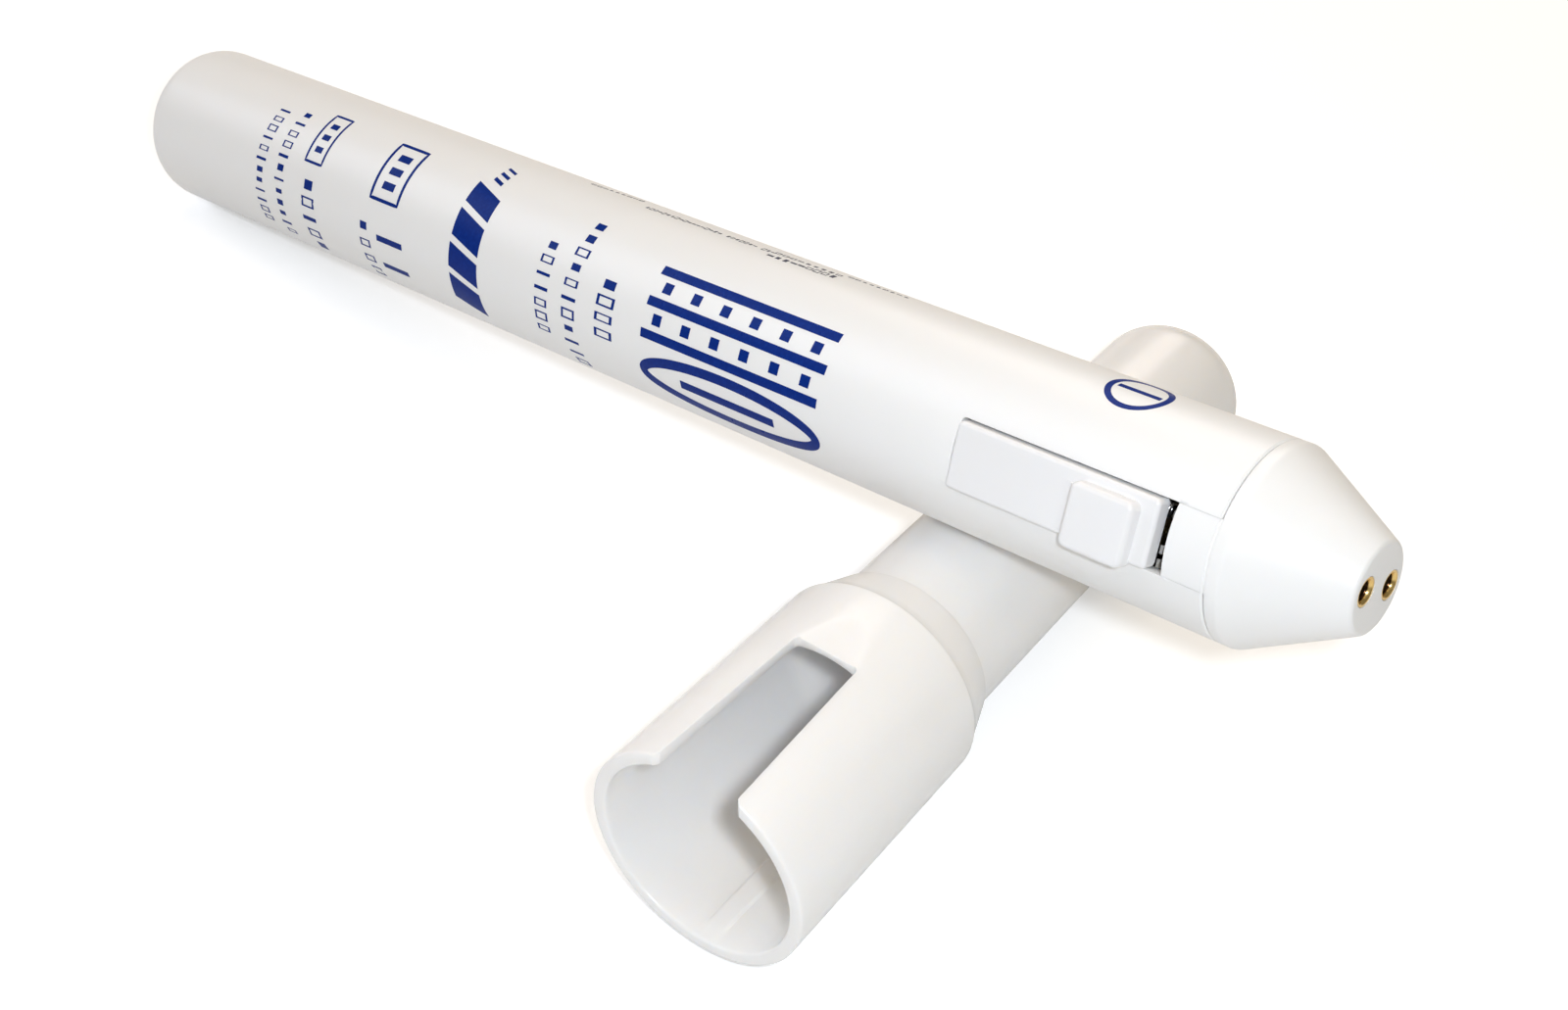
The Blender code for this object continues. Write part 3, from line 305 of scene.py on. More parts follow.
# %% White moulded plastic
PEN_TURN = PEN.to_3x3().inverted().to_euler()
ALONG = (0.06, 1.0, 1.0)        # stretches of noise: lines along the pen,
SCRATCHED = (0.12, 1.0, 1.0)    # short scratches along it
TURNED = (1.0, 0.2, 0.2)        # and lines round a turned piece


def moulded_plastic(name, light, shade, roughness, scuffs=0.03, glow=0.12,
                    depth=(0.0012, 0.001, 0.0008)):
    """Satin plastic; glow is the share of light that wanders under its skin, depth how far."""
    material, tree, shader = start_material(name, light, roughness)
    tone = spread(tree, add_noise(tree, 60.0, 2.0), 0.0, 1.0)
    polish = spread(tree, add_noise(tree, 900.0, 4.0), roughness - 0.02, roughness + 0.02)
    scratches = add_noise(tree, 900.0, 3.0, SCRATCHED, PEN_TURN)
    worn = spread(tree, scratches, 0.0, scuffs, 0.6, 0.75)
    ripple = add_bump(tree, add_noise(tree, 700.0, 2.0), 0.01 * MM, 0.12)
    grain = add_bump(tree, add_noise(tree, 5200.0, 2.0), 0.006 * MM, 0.3, after=ripple)
    feed(tree, shader, {
        "Base Color": mix_colours(tree, tone, light, shade), "Normal": grain,
        "Roughness": grow(tree, "ShaderNodeMath", {0: polish, 1: worn}, operation="ADD"),
        "Subsurface Weight": glow, "Subsurface Radius": depth, "Subsurface Scale": 1.0,
        "IOR": 1.5})
    return material


white_plastic = moulded_plastic("white_plastic", (0.905, 0.9, 0.89), (0.9, 0.895, 0.886), 0.34)
slider_plastic = moulded_plastic("slider_plastic", (0.86, 0.855, 0.86), (0.855, 0.85, 0.855), 0.32)
cap_plastic = moulded_plastic("cap_plastic", (0.9, 0.885, 0.87), (0.896, 0.882, 0.868), 0.22,
                              scuffs=0.008, glow=0.7, depth=(0.0016, 0.0018, 0.0021))
frame_plastic = moulded_plastic("frame_plastic", (0.075, 0.062, 0.06), (0.06, 0.05, 0.05), 0.45)
print("plastics:", white_plastic.name, slider_plastic.name, cap_plastic.name, frame_plastic.name)


# %% Metals
def along_pen(tree, output):
    """How far a place or a normal reaches along the pen."""
    place = grow(tree, "ShaderNodeTexCoord", output=output)
    both = {0: place, 1: pen_axis}
    return grow(tree, "ShaderNodeVectorMath", both, output="Value", operation="DOT_PRODUCT")


# painted shade: deep in a socket's bore the gold turns dark brown, standing for the shadow inside
# the hole
BORE_PAINTED_SHADE = (0.035, 0.016, 0.007)
GOLD_RIM = 0.22 * MM            # past this depth the bore gets painted shade; only the rim above it shows its gold
PAINTED_SHADE_FADE = 0.1 * MM
socket_face = max(point.dot(pen_axis) for point in points_of("tip_socket_upper"))


def plated_metal(name, light, shade, roughness, brushed, rim=None):
    """Plated metal with fine lines; past the depth rim in the nose, painted shade darkens a bore."""
    material, tree, shader = start_material(name, light, roughness, 1.0)
    drift = spread(tree, add_noise(tree, 700.0, 3.0), 0.0, 1.0)
    colour = mix_colours(tree, drift, light, shade)
    # painted shade: a bore deeper than rim is darkened
    if rim:
        end = socket_face - rim
        depth = spread(tree, along_pen(tree, "Object"), 0.0, 1.0, end - PAINTED_SHADE_FADE, end)
        colour = mix_colours(tree, depth, BORE_PAINTED_SHADE, colour)
    lines = add_noise(tree, 3000.0, 3.0, brushed, PEN_TURN)
    feed(tree, shader, {
        "Base Color": colour, "Normal": add_bump(tree, lines, 0.004 * MM, 0.4),
        "Roughness": spread(tree, lines, roughness - 0.06, roughness + 0.08)})
    return material


# gold_plate paints shade into its bores past GOLD_RIM
gold_plate = plated_metal("gold_plate", (0.83, 0.6, 0.24), (0.76, 0.52, 0.19), 0.22, TURNED,
                          rim=GOLD_RIM)
# painted shade: the socket clips get a dark brown copy of the gold, standing for the shade deep in
# the bores
clip_gold_painted_shade = plated_metal("clip_gold_painted_shade", (0.2, 0.12, 0.045), (0.14, 0.08, 0.03), 0.3, TURNED)
strip_brass = plated_metal("strip_brass", (0.74, 0.57, 0.27), (0.66, 0.48, 0.22), 0.3, ALONG)
nickel_steel = plated_metal("nickel_steel", (0.64, 0.63, 0.6), (0.52, 0.52, 0.51), 0.28, ALONG)
print("metals:", gold_plate.name, clip_gold_painted_shade.name, strip_brass.name, nickel_steel.name)

# %% The cells' printed sleeve
SLEEVE = (0.09, 0.1, 0.115)
BARE_END = (0.6, 0.6, 0.58)


def cell_sleeve():
    """A dark printed sleeve with bare metal ends, split by how the surface faces."""
    material, tree, shader = start_material("cell_can", SLEEVE, 0.28)
    facing = grow(tree, "ShaderNodeMath", {0: along_pen(tree, "Normal")}, operation="ABSOLUTE")
    ends = spread(tree, facing, 0.0, 1.0, 0.5, 0.6)
    grain = add_noise(tree, 1500.0, 3.0)
    feed(tree, shader, {
        "Base Color": mix_colours(tree, ends, SLEEVE, BARE_END), "Metallic": ends,
        "Roughness": spread(tree, grain, 0.22, 0.36),
        "Normal": add_bump(tree, grain, 0.004 * MM, 0.3)})
    return material


cell_can = cell_sleeve()
print("sleeve:", cell_can.name)

# %% [markdown]
# ## Two shells with a notch
#
# The tube and the cap are the same kind of form: a turned shell, domed at one end and open at the
# other, with a notch cut in from the open end. A Boolean cut in a finely turned shell leaves
# slivers that spoil the shading, and a bevel can't run along them. So the shell is woven row by
# row instead. In the notch each row stops at the notch's two edges, so the edges are clean lines
# that a small bevel can round like a moulded corner.

# %% Profiles
def arc_points(centre, radius, start, end, steps):
    """Points (x, r) on an arc, angles in degrees from +X."""
    angles = [radians(start + (end - start) * step / steps) for step in range(steps + 1)]
    return [(centre[0] + radius * cos(angle), centre[1] + radius * sin(angle)) for angle in angles]


def dome_points(base, height, radius, power, steps):
    """Points (x, r) from a dome's pole to just before its base; height may be negative."""
    points = [(base + height, 0.0)]
    for step in range(1, steps):
        angle = 0.5 * pi * step / steps
        points.append((base + height * cos(angle) ** (2 / power),
                       radius * sin(angle) ** (2 / power)))
    return points


def spaced(start, end, step):
    """Even values from start to end, both included, about one step apart."""
    count = max(1, round(abs(end - start) / step))
    return [start + (end - start) * index / count for index in range(count + 1)]


def weave(bm, ring, follower, count=None):
    """Faces between two rings, or a ring and a point; a count stops short of the full turn."""
    for step in range(count or max(len(ring), len(follower))):
        corners = [side[(step + offset) % len(side)] for side, offset in
                   ((ring, 0), (ring, 1), (follower, 1), (follower, 0))]
        bm.faces.new(list(dict.fromkeys(corners)))


print("profiles ready")


# %% The woven shell
def woven_shell(closed_outer, notch_places, outer_radius, rim, inner_radius, closed_inner,
                notch_half, around, across, shape=None):
    """A bmesh of a notched shell about X, with the notch at +Z.

    closed_outer runs from the outer pole to the notch's end, notch_places from there to the
    mouth, rim over the mouth's edge from outside to inside, and closed_inner from the notch's
    end to the inner pole. shape may move a point, given its place and which surface it is on.
    """
    bm = bmesh.new()
    start = notch_places[0]
    profile = [(x, radius, "outer", True) for x, radius in closed_outer]
    profile += [(x, outer_radius(x), "outer", x == start) for x in notch_places]
    profile += [(x, radius, "rim", False) for x, radius in rim]
    profile += [(x, inner_radius(x), "inner", x == start) for x in reversed(notch_places)]
    profile += [(x, radius, "inner", True) for x, radius in closed_inner]

    rows = []
    for x, radius, side, closed in profile:
        if not radius:
            rows.append([bm.verts.new((x, 0.0, 0.0))])
            continue
        wall = (inner_radius if side == "inner" else outer_radius)(start) if closed else radius
        edge = asin(notch_half(x) / wall)
        angles = [edge + (tau - 2 * edge) * step / around for step in range(around + 1)]
        if closed:
            angles += [-edge + 2 * edge * step / across for step in range(1, across)]
        ring = [Vector((x, radius * sin(angle), radius * cos(angle))) for angle in angles]
        rows.append([bm.verts.new(shape(place, side) if shape else place) for place in ring])
    for index, (ring, follower) in enumerate(zip(rows, rows[1:])):
        full = profile[index][3] and profile[index + 1][3]
        weave(bm, ring, follower, None if full else around)

    first, last = len(closed_outer), len(rows) - len(closed_inner) - 1
    depth = len(notch_places) - 1
    over = [*range(around, around + across), 0]
    for near, far in zip(over, over[1:]):
        bm.faces.new((rows[first][near], rows[first][far], rows[last][far], rows[last][near]))
    for side in (0, around):
        for index in range(depth):
            corners = (first + index, first + index + 1, last - index - 1, last - index)
            bm.faces.new([rows[corner][side] for corner in corners])
        bm.faces.new([ring[side] for ring in rows[first + depth:last - depth + 1]])
    bmesh.ops.recalc_face_normals(bm, faces=bm.faces)
    return bm


def round_edges(bm, chosen, offset):
    """Bevel the edges that the test picks, and count them."""
    edges = [edge for edge in bm.edges if len(edge.link_faces) == 2 and chosen(edge)]
    bmesh.ops.bevel(bm, geom=edges, offset=offset, segments=3, profile=0.5, affect="EDGES",
                    clamp_overlap=True)
    return len(edges)


def mesh_of(bm, name):
    """A mesh from a bmesh, which is freed."""
    mesh = bpy.data.meshes.new(name)
    bm.to_mesh(mesh)
    bm.free()
    return mesh


def finish_piece(bm, name, material, placed, body, node=None, angle=40.0):
    """A piece on a body from a bmesh drawn along some axes; it may stand for a node."""
    mesh = mesh_of(bm, name)
    mesh.transform(placed)
    mesh.materials.append(material)
    mesh.shade_smooth()
    mesh.set_sharp_from_angle(angle=radians(angle))
    piece = add_object(name, mesh)
    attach(piece, body)
    if node:
        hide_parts(node)
    return piece


def rounded_in(inset, corner):
    """What a rounded corner takes off a notch's half width, this far in."""
    return corner - sqrt(corner ** 2 - min(max(inset, 0.0), corner) ** 2)


SHARP_TURN = radians(30)


def along_notch(edge, start, end, lowest, widest):
    """True on a sharp edge of a notch between two places."""
    inside = all(start - TINY <= vert.co.x <= end + TINY and abs(vert.co.y) <= widest + TINY
                 and vert.co.z > lowest for vert in edge.verts)
    return inside and edge.calc_face_angle(0.0) > SHARP_TURN


print("shell weaving ready")

# %% [markdown]
# ### The tube
#
# The tube is 18 mm across, so that two round cells fit in its 1.4 mm wall. Its rear end is a
# squared dome. The slider's window runs to the tube's mouth, where a tongue on the nose closes it.

# %% Tube
TUBE_RADIUS = 9.0 * MM
TUBE_BORE = 7.6 * MM
TUBE_LENGTH = 144.3 * MM
TUBE_EDGE = 0.15 * MM
TUBE_AROUND = 176
REAR_POWER = 2.5
REAR_WALL_FACE = -2.5 * MM
REAR_FILLET = 2.0 * MM
WINDOW_REAR = 118.6 * MM
WINDOW_FRONT = 140.45 * MM
WINDOW_HALF = 3.18 * MM
WINDOW_TURN = radians(1.36)     # its middle lies slightly below the switch's
WINDOW_CORNER = 0.45 * MM
WINDOW_EDGE = 0.14 * MM
NOTCH_STEP = 0.9 * MM
RING_STEP = 2.5 * MM


def window_half(x):
    """Half the window's width at a place, rounded in at its rear corners."""
    return WINDOW_HALF - rounded_in(WINDOW_REAR + WINDOW_CORNER - x, WINDOW_CORNER)


window_places = [WINDOW_REAR + WINDOW_CORNER * (1 - cos(radians(angle)))
                 for angle in range(0, 91, 18)]
window_places += spaced(WINDOW_REAR + WINDOW_CORNER, WINDOW_FRONT, NOTCH_STEP)[1:]
window_places += spaced(WINDOW_FRONT, TUBE_LENGTH - TUBE_EDGE, NOTCH_STEP)[1:]
tube_closed = dome_points(0.0, -REAR_DOME, TUBE_RADIUS, REAR_POWER, 28)
tube_closed += [(x, TUBE_RADIUS) for x in spaced(0.0, WINDOW_REAR, RING_STEP)[:-1]]
fillet_centre = (REAR_WALL_FACE + REAR_FILLET, TUBE_BORE - REAR_FILLET)
tube_inside = [(x, TUBE_BORE) for x in spaced(WINDOW_REAR, fillet_centre[0], 2 * RING_STEP)[1:-1]]
tube_inside += arc_points(fillet_centre, REAR_FILLET, 90.0, 180.0, 6) + [(REAR_WALL_FACE, 0.0)]
tube_rim = [(TUBE_LENGTH, TUBE_RADIUS - TUBE_EDGE), (TUBE_LENGTH, TUBE_BORE + TUBE_EDGE)]
tube_bm = woven_shell(tube_closed, window_places, lambda x: TUBE_RADIUS, tube_rim,
                      lambda x: TUBE_BORE, tube_inside, window_half, TUBE_AROUND, across=10)
rounded = round_edges(tube_bm, lambda edge: along_notch(edge, WINDOW_REAR, WINDOW_FRONT, 0.0,
                                                        WINDOW_HALF), WINDOW_EDGE)
tube = finish_piece(tube_bm, "tube_shell", white_plastic,
                    PEN @ Matrix.Rotation(WINDOW_TURN, 4, "X"), "body",
                    "body_tube")
print("tube:", len(tube.data.polygons), "faces,", rounded, "edges rounded")

# %% [markdown]
# ### The cap
#
# The cap is moulded in one piece. Its bell slips over the nose, and the slot in the bell clears
# the thumb button. Behind the slot lies a flat D-shaped ramp, and inside the bell runs one low
# rib. The same woven shell makes it, with its mouth at zero, and a small function presses the
# ramp and raises the rib.

# %% The cap's profile
CAP_MOUTH_RADIUS = 10.92 * MM
CAP_SHOULDER_EDGE = 8.8 * MM
CAP_NECK_STEP = 0.3 * MM
CAP_NECK_ROOT = 8.2 * MM
CAP_WALL = 1.27 * MM
CAP_BORE_DRAFT = 0.12 * MM
SLOT_LENGTH = 18.0 * MM
SLOT_MOUTH_HALF = 3.95 * MM
SLOT_END_HALF = 3.2 * MM
SLOT_CORNER = 0.5 * MM
SLOT_EDGE = 0.22 * MM

bell_bore = CAP_MOUTH_RADIUS - CAP_WALL
bell_taper = (CAP_MOUTH_RADIUS - CAP_BELL_RADIUS) / CAP_BELL_LENGTH
shoulder_end = CAP_BELL_LENGTH + CAP_SHOULDER
neck_bore = CAP_NECK_ROOT - CAP_WALL
tip_bore = CAP_NECK_RADIUS - CAP_WALL - CAP_BORE_DRAFT


def bell_radius(x):
    """Outer radius of the bell."""
    return CAP_MOUTH_RADIUS - bell_taper * x


def bore_radius(x):
    """Inner radius of the bell."""
    return bell_bore - CAP_BORE_DRAFT * x / CAP_BELL_LENGTH


def slot_half(x):
    """Half the slot's width, chamfered at the mouth and rounded in at its end."""
    if x < SLOT_CORNER:
        return SLOT_MOUTH_HALF + SLOT_CORNER - max(x, 0.0)
    share = min(1.0, (x - SLOT_CORNER) / (SLOT_LENGTH - 2 * SLOT_CORNER))
    half = SLOT_MOUTH_HALF + (SLOT_END_HALF - SLOT_MOUTH_HALF) * share
    return half - rounded_in(x - (SLOT_LENGTH - SLOT_CORNER), SLOT_CORNER)


print("bell bore", round(bell_bore / MM, 2), "mm, neck bore", round(neck_bore / MM, 2), "mm")

# %% The ramp and the rib
RAMP_LENGTH = 4.6 * MM
RIB_ROLL = radians(186.5)
RIB_HALF = 0.9 * MM
RIB_HEIGHT = 0.2 * MM
RIB_START = 0.8 * MM
RIB_END = 22.8 * MM

ramp_end = SLOT_LENGTH + RAMP_LENGTH
ramp_low = sqrt(bell_radius(SLOT_LENGTH) ** 2 - SLOT_END_HALF ** 2)
ramp_rise = (bell_radius(ramp_end) - ramp_low) / RAMP_LENGTH


def shape_cap(place, side):
    """Press the flat ramp behind the slot, and raise the low rib inside the bell."""
    if side == "outer" and place.z > 0 and abs(place.y) < 2 * SLOT_END_HALF:
        if SLOT_LENGTH - TINY <= place.x <= ramp_end:
            place.z = min(place.z, ramp_low + ramp_rise * (place.x - SLOT_LENGTH))
    if side == "inner" and RIB_START < place.x < RIB_END:
        radius = hypot(place.y, place.z)
        turn = (atan2(place.y, place.z) - RIB_ROLL) % tau
        if min(turn, tau - turn) < RIB_HALF / radius:
            place.y *= (radius - RIB_HEIGHT) / radius
            place.z *= (radius - RIB_HEIGHT) / radius
    return place


print("ramp rises", round(degrees(atan(ramp_rise)), 1), "degrees")

# %% Cap
cap_closed = dome_points(cap_body, CAP_DOME, CAP_NECK_RADIUS, 2.0, 26)
neck_start = shoulder_end + 0.3 * CAP_SHOULDER
neck_fall = (CAP_NECK_ROOT - CAP_NECK_RADIUS) / (cap_body - neck_start)
for x in spaced(cap_body, neck_start, RING_STEP):
    cap_closed.append((x, CAP_NECK_RADIUS + neck_fall * (cap_body - x)))
cap_closed.append((shoulder_end, 0.7 * CAP_NECK_ROOT + 0.3 * CAP_SHOULDER_EDGE))
near_edge = (CAP_BELL_LENGTH + CAP_RIM, CAP_BELL_RADIUS - CAP_RIM)
far_edge = (shoulder_end - CAP_NECK_STEP, CAP_SHOULDER_EDGE)
for x in spaced(far_edge[0], near_edge[0], 0.8 * MM):
    share = (x - far_edge[0]) / (near_edge[0] - far_edge[0])
    cap_closed.append((x, far_edge[1] + (near_edge[1] - far_edge[1]) * share))
cap_closed += arc_points((CAP_BELL_LENGTH - CAP_RIM, CAP_BELL_RADIUS - 2 * CAP_RIM), 2 * CAP_RIM,
                         32.0, 90.0, 4)[1:]
bell_rows = spaced(CAP_BELL_LENGTH - 2 * CAP_RIM, ramp_end, 0.6 * MM)
bell_rows += spaced(ramp_end, SLOT_LENGTH, 0.3 * MM)[1:-1]
cap_closed += [(x, bell_radius(x)) for x in bell_rows]
slot_places = [SLOT_LENGTH - SLOT_CORNER * (1 - sin(radians(angle)))
               for angle in range(90, -1, -18)]
slot_places += spaced(SLOT_LENGTH - SLOT_CORNER, SLOT_CORNER, NOTCH_STEP)[1:] + [CAP_RIM]
cap_rim = arc_points((CAP_RIM, CAP_MOUTH_RADIUS - CAP_RIM), CAP_RIM, 90.0, 180.0, 4)[1:]
cap_rim += arc_points((CAP_RIM, bell_bore + CAP_RIM), CAP_RIM, 180.0, 270.0, 4)[:-1]
bore_rows = spaced(SLOT_LENGTH, RIB_END - 0.1 * MM, 1.2 * MM)[1:]
bore_rows += spaced(RIB_END + 0.1 * MM, CAP_BELL_LENGTH, 1.2 * MM)
cap_inside = [(x, bore_radius(x)) for x in bore_rows] + [(shoulder_end, neck_bore)]
cap_inside += [(x, neck_bore + (tip_bore - neck_bore) * (x - shoulder_end) / CAP_NECK_LENGTH)
               for x in spaced(shoulder_end, cap_body, 6.0 * MM)[1:]]
cap_inside += dome_points(cap_body, CAP_DOME - CAP_WALL, tip_bore, 2.0, 12)[::-1]
cap_bm = woven_shell(cap_closed, slot_places, bell_radius, cap_rim, bore_radius, cap_inside,
                     slot_half, around=190, across=24, shape=shape_cap)
rounded = round_edges(cap_bm, lambda edge: along_notch(edge, CAP_RIM, SLOT_LENGTH, 0.5 * bell_bore,
                                                       CAP_MOUTH_RADIUS), SLOT_EDGE)
cap = finish_piece(cap_bm, "cap_shell", cap_plastic, CAP, "body", "protective_cap",
                   angle=33.0)
print("cap:", len(cap.data.polygons), "faces,", rounded, "edges rounded")

# %% [markdown]
# ## Smooth copies of the solids
#
# The imported solids are loose flat triangles. A copy with its points welded can be shaded smooth
# and then stands for the solid, which stays hidden. The return spring lies between two bodies, and
# its copy gets a mesh of its own.

# %% Welded copies
WELD = 0.002 * MM
FLAT = radians(0.5)


def welded_copy(node, material, body, angle=35.0):
    """A welded, smoothly shaded copy of a CAD node, in the node's stead."""
    bm = bmesh.new()
    bm.from_mesh(frame["nodes"][node].data)
    bmesh.ops.remove_doubles(bm, verts=bm.verts, dist=WELD)
    bmesh.ops.dissolve_limit(bm, angle_limit=FLAT, verts=bm.verts, edges=bm.edges)
    return finish_piece(bm, node + "_fine", material, Matrix.Identity(4), body, node, angle)


welded_copy("switch_frame", frame_plastic, "head")
for name in ("cell_rear", "cell_front"):
    welded_copy(name, cell_can, "body")
for name in ("rear_contact_plate", "rear_spring"):
    welded_copy(name, nickel_steel, "body", angle=50.0)
welded_copy("return_strip", strip_brass, "body")
for name in ("positive_contact", "return_wiper"):
    welded_copy(name, strip_brass, "head")
welded_copy("front_contact_strap", nickel_steel, "head", angle=50.0)
spring = welded_copy("return_spring", nickel_steel, "head", angle=50.0)
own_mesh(spring)
welded_copy("contact_bridge", strip_brass, "slider")
# the socket clips wear the dark gold of painted shade
for name in ("upper", "lower"):
    welded_copy("tip_socket_" + name, gold_plate, "head")
    welded_copy("socket_clip_" + name, clip_gold_painted_shade, "head")

# %% [markdown]
# ## The thumb slider
#
# A thumb finds this slider by its edges, so they deserve more than a copy: a long slab, a raised
# button that reaches over the window's low edge, and a hollow ramp where the thumb rests. Each
# block is a stack of rounded outlines that shrink towards the top. Weighted normals then keep the
# broad faces flat between their round edges.

# %% Moulded blocks
def moulded_block(x_span, y_span, z_span, corner, rounding, steps=6):
    """A block with rounded plan corners and a rounded top edge."""
    (x0, x1), (y0, y1), (z0, z1) = x_span, y_span, z_span
    levels = [(z0, 0.0)]
    for step in range(steps + 1):
        angle = 0.5 * pi * step / steps
        levels.append((z1 - rounding * (1 - sin(angle)), rounding * (1 - cos(angle))))
    quarters = (((x1 - corner, y1 - corner), 0.0), ((x0 + corner, y1 - corner), 90.0),
                ((x0 + corner, y0 + corner), 180.0), ((x1 - corner, y0 + corner), 270.0))
    bm = bmesh.new()
    rings = [[bm.verts.new((x, y, z)) for middle, start in quarters
              for x, y in arc_points(middle, corner - inset, start, start + 90.0, steps)]
             for z, inset in levels]
    for ring, follower in zip(rings, rings[1:]):
        weave(bm, ring, follower)
    bm.faces.new(rings[0])
    bm.faces.new(rings[-1])
    bmesh.ops.recalc_face_normals(bm, faces=bm.faces)
    return bm


def drawn_along(outline, low, high):
    """A solid from an outline of (x, z) points, drawn along Y."""
    bm = bmesh.new()
    face = bm.faces.new([bm.verts.new((x, low, z)) for x, z in outline])
    moved = bmesh.ops.extrude_face_region(bm, geom=[face])["geom"]
    verts = [item for item in moved if isinstance(item, bmesh.types.BMVert)]
    bmesh.ops.translate(bm, verts=verts, vec=(0.0, high - low, 0.0))
    bmesh.ops.recalc_face_normals(bm, faces=bm.faces)
    return bm


def brick(x0, x1, z0, z1, low, high):
    """A plain block, given by its limits."""
    return drawn_along([(x0, z0), (x1, z0), (x1, z1), (x0, z1)], low, high)


print("blocks ready")


# %% Joining solids
def baked(thing):
    """A plain mesh of an object with its modifiers applied."""
    graph = bpy.context.evaluated_depsgraph_get()
    return bpy.data.meshes.new_from_object(thing.evaluated_get(graph))


def joined_solids(bm, steps):
    """A new bmesh from exact Booleans, each given as (operation, bmesh)."""
    base = add_object("helper", mesh_of(bm, "helper"))
    tools = []
    for operation, source in steps:
        tools.append(add_object("helper", mesh_of(source, "helper")))
        modifier = base.modifiers.new("join", "BOOLEAN")
        modifier.operation = operation
        modifier.solver = "EXACT"
        modifier.object = tools[-1]
    result = bmesh.new()
    result.from_mesh(baked(base))
    for thing in [base] + tools:
        bpy.data.objects.remove(thing, do_unlink=True)
    return result


def flatten_faces(piece):
    """Weight the normals by face size, so that broad faces stay flat up to their edges."""
    weighting = piece.modifiers.new("weighting", "WEIGHTED_NORMAL")
    weighting.keep_sharp = True
    piece.data = baked(piece)
    piece.modifiers.clear()


print("joining ready")

# %% Slider
SLAB_X = (118.68 * MM, 139.2 * MM)
SLAB_Y = (-3.3 * MM, 2.75 * MM)
SLAB_Z = (7.55 * MM, 9.2 * MM)
BUTTON_X = (131.5 * MM, 137.7 * MM)
BUTTON_Y = (-3.75 * MM, 2.0 * MM)
BUTTON_Z = (8.85 * MM, 10.55 * MM)
RAMP_X = (129.9 * MM, 131.6 * MM)
RAMP_TOP = 10.0 * MM
RAMP_INSET = (1.0 * MM, 0.6 * MM)    # from the button's low and high side
FOOT_X = (121.5 * MM, 135.6 * MM)
STEM_HALF = 2.3 * MM
FLANGE_HALF = 3.3 * MM
FLANGE_Z = (4.7 * MM, 5.3 * MM)
SLAB_SINK = 0.3 * MM                 # overlaps between the blocks that are joined
FLANGE_SINK = 0.2 * MM
STEM_RISE = 0.5 * MM

slab = moulded_block(SLAB_X, SLAB_Y, SLAB_Z, 0.5 * MM, 0.42 * MM)
button = moulded_block(BUTTON_X, BUTTON_Y, BUTTON_Z, 0.75 * MM, 0.5 * MM)
ramp_outline = [(RAMP_X[1], SLAB_Z[1] - SLAB_SINK), (RAMP_X[0], SLAB_Z[1] - SLAB_SINK)]
ramp_outline += [(RAMP_X[0] + (RAMP_X[1] - RAMP_X[0]) * sin(radians(angle)),
                  RAMP_TOP - (RAMP_TOP - SLAB_Z[1]) * cos(radians(angle)))
                 for angle in range(0, 91, 10)]
ramp = drawn_along(ramp_outline, BUTTON_Y[0] + RAMP_INSET[0], BUTTON_Y[1] - RAMP_INSET[1])
stem = brick(*FOOT_X, FLANGE_Z[1] - FLANGE_SINK, SLAB_Z[0] + STEM_RISE, -STEM_HALF, STEM_HALF)
flange = brick(*FOOT_X, *FLANGE_Z, -FLANGE_HALF, FLANGE_HALF)
slider_bm = joined_solids(slab, [("UNION", part) for part in (button, ramp, stem, flange)])
slider = finish_piece(slider_bm, "slider_moulding", slider_plastic, PEN, "slider",
                      "switch_slider", angle=32.0)
flatten_faces(slider)
print("slider:", len(slider.data.polygons), "faces")

# %% [markdown]
# ## The nose
#
# The nose's profile is drawn once and spun: a flat face, a small round edge, the cone, a short
# band and the spigot that fits in the tube. A tongue grows from it and closes the front of the
# slider's window, with a hairline on each side. The cuts are the same as in the solid: the opening
# under the switch, the notch of the wiper and two stepped holes for the sockets.

# %% Turned solids
def spun(profile, segments, height=0.0, closed=False):
    """A solid from a profile of (x, radius) points, spun about an axis along X at a height."""
    bm = bmesh.new()
    turns = [tau * step / segments for step in range(segments)]
    rings = [[bm.verts.new((x, radius * sin(turn), height + radius * cos(turn)))
              for turn in (turns if radius else turns[:1])] for x, radius in profile]
    for ring, follower in zip(rings, rings[1:] + rings[:1] if closed else rings[1:]):
        weave(bm, ring, follower)
    bmesh.ops.recalc_face_normals(bm, faces=bm.faces)
    return bm


print("turning ready")

# %% The nose's profile and its tongue
NOSE_BAND = 144.42 * MM
NOSE_BASE = 145.57 * MM
NOSE_TIP = 154.87 * MM
NOSE_FACE = 3.75 * MM
CONE_LEAN = 62.0                     # degrees from the axis to the cone's outward normal
FACE_ROUNDING = 0.506 * MM
BASE_ROUNDING = 1.0 * MM
BASE_EDGE = 0.25 * MM
BAND_ROUNDING = 0.18 * MM
CAVITY_END = 147.37 * MM
CAVITY_RADIUS = 5.043 * MM
SPIGOT_START = 137.0 * MM
SPIGOT_RADIUS = 7.3 * MM
SPIGOT_BORE = 6.0 * MM
TONGUE_SIDES = (-3.355 * MM, 2.955 * MM)
TONGUE_ROOT = 6.9 * MM
TONGUE_SKIN = 8.985 * MM
TONGUE_GROOVE = 8.84 * MM
TONGUE_END = NOSE_BAND + 0.5 * MM

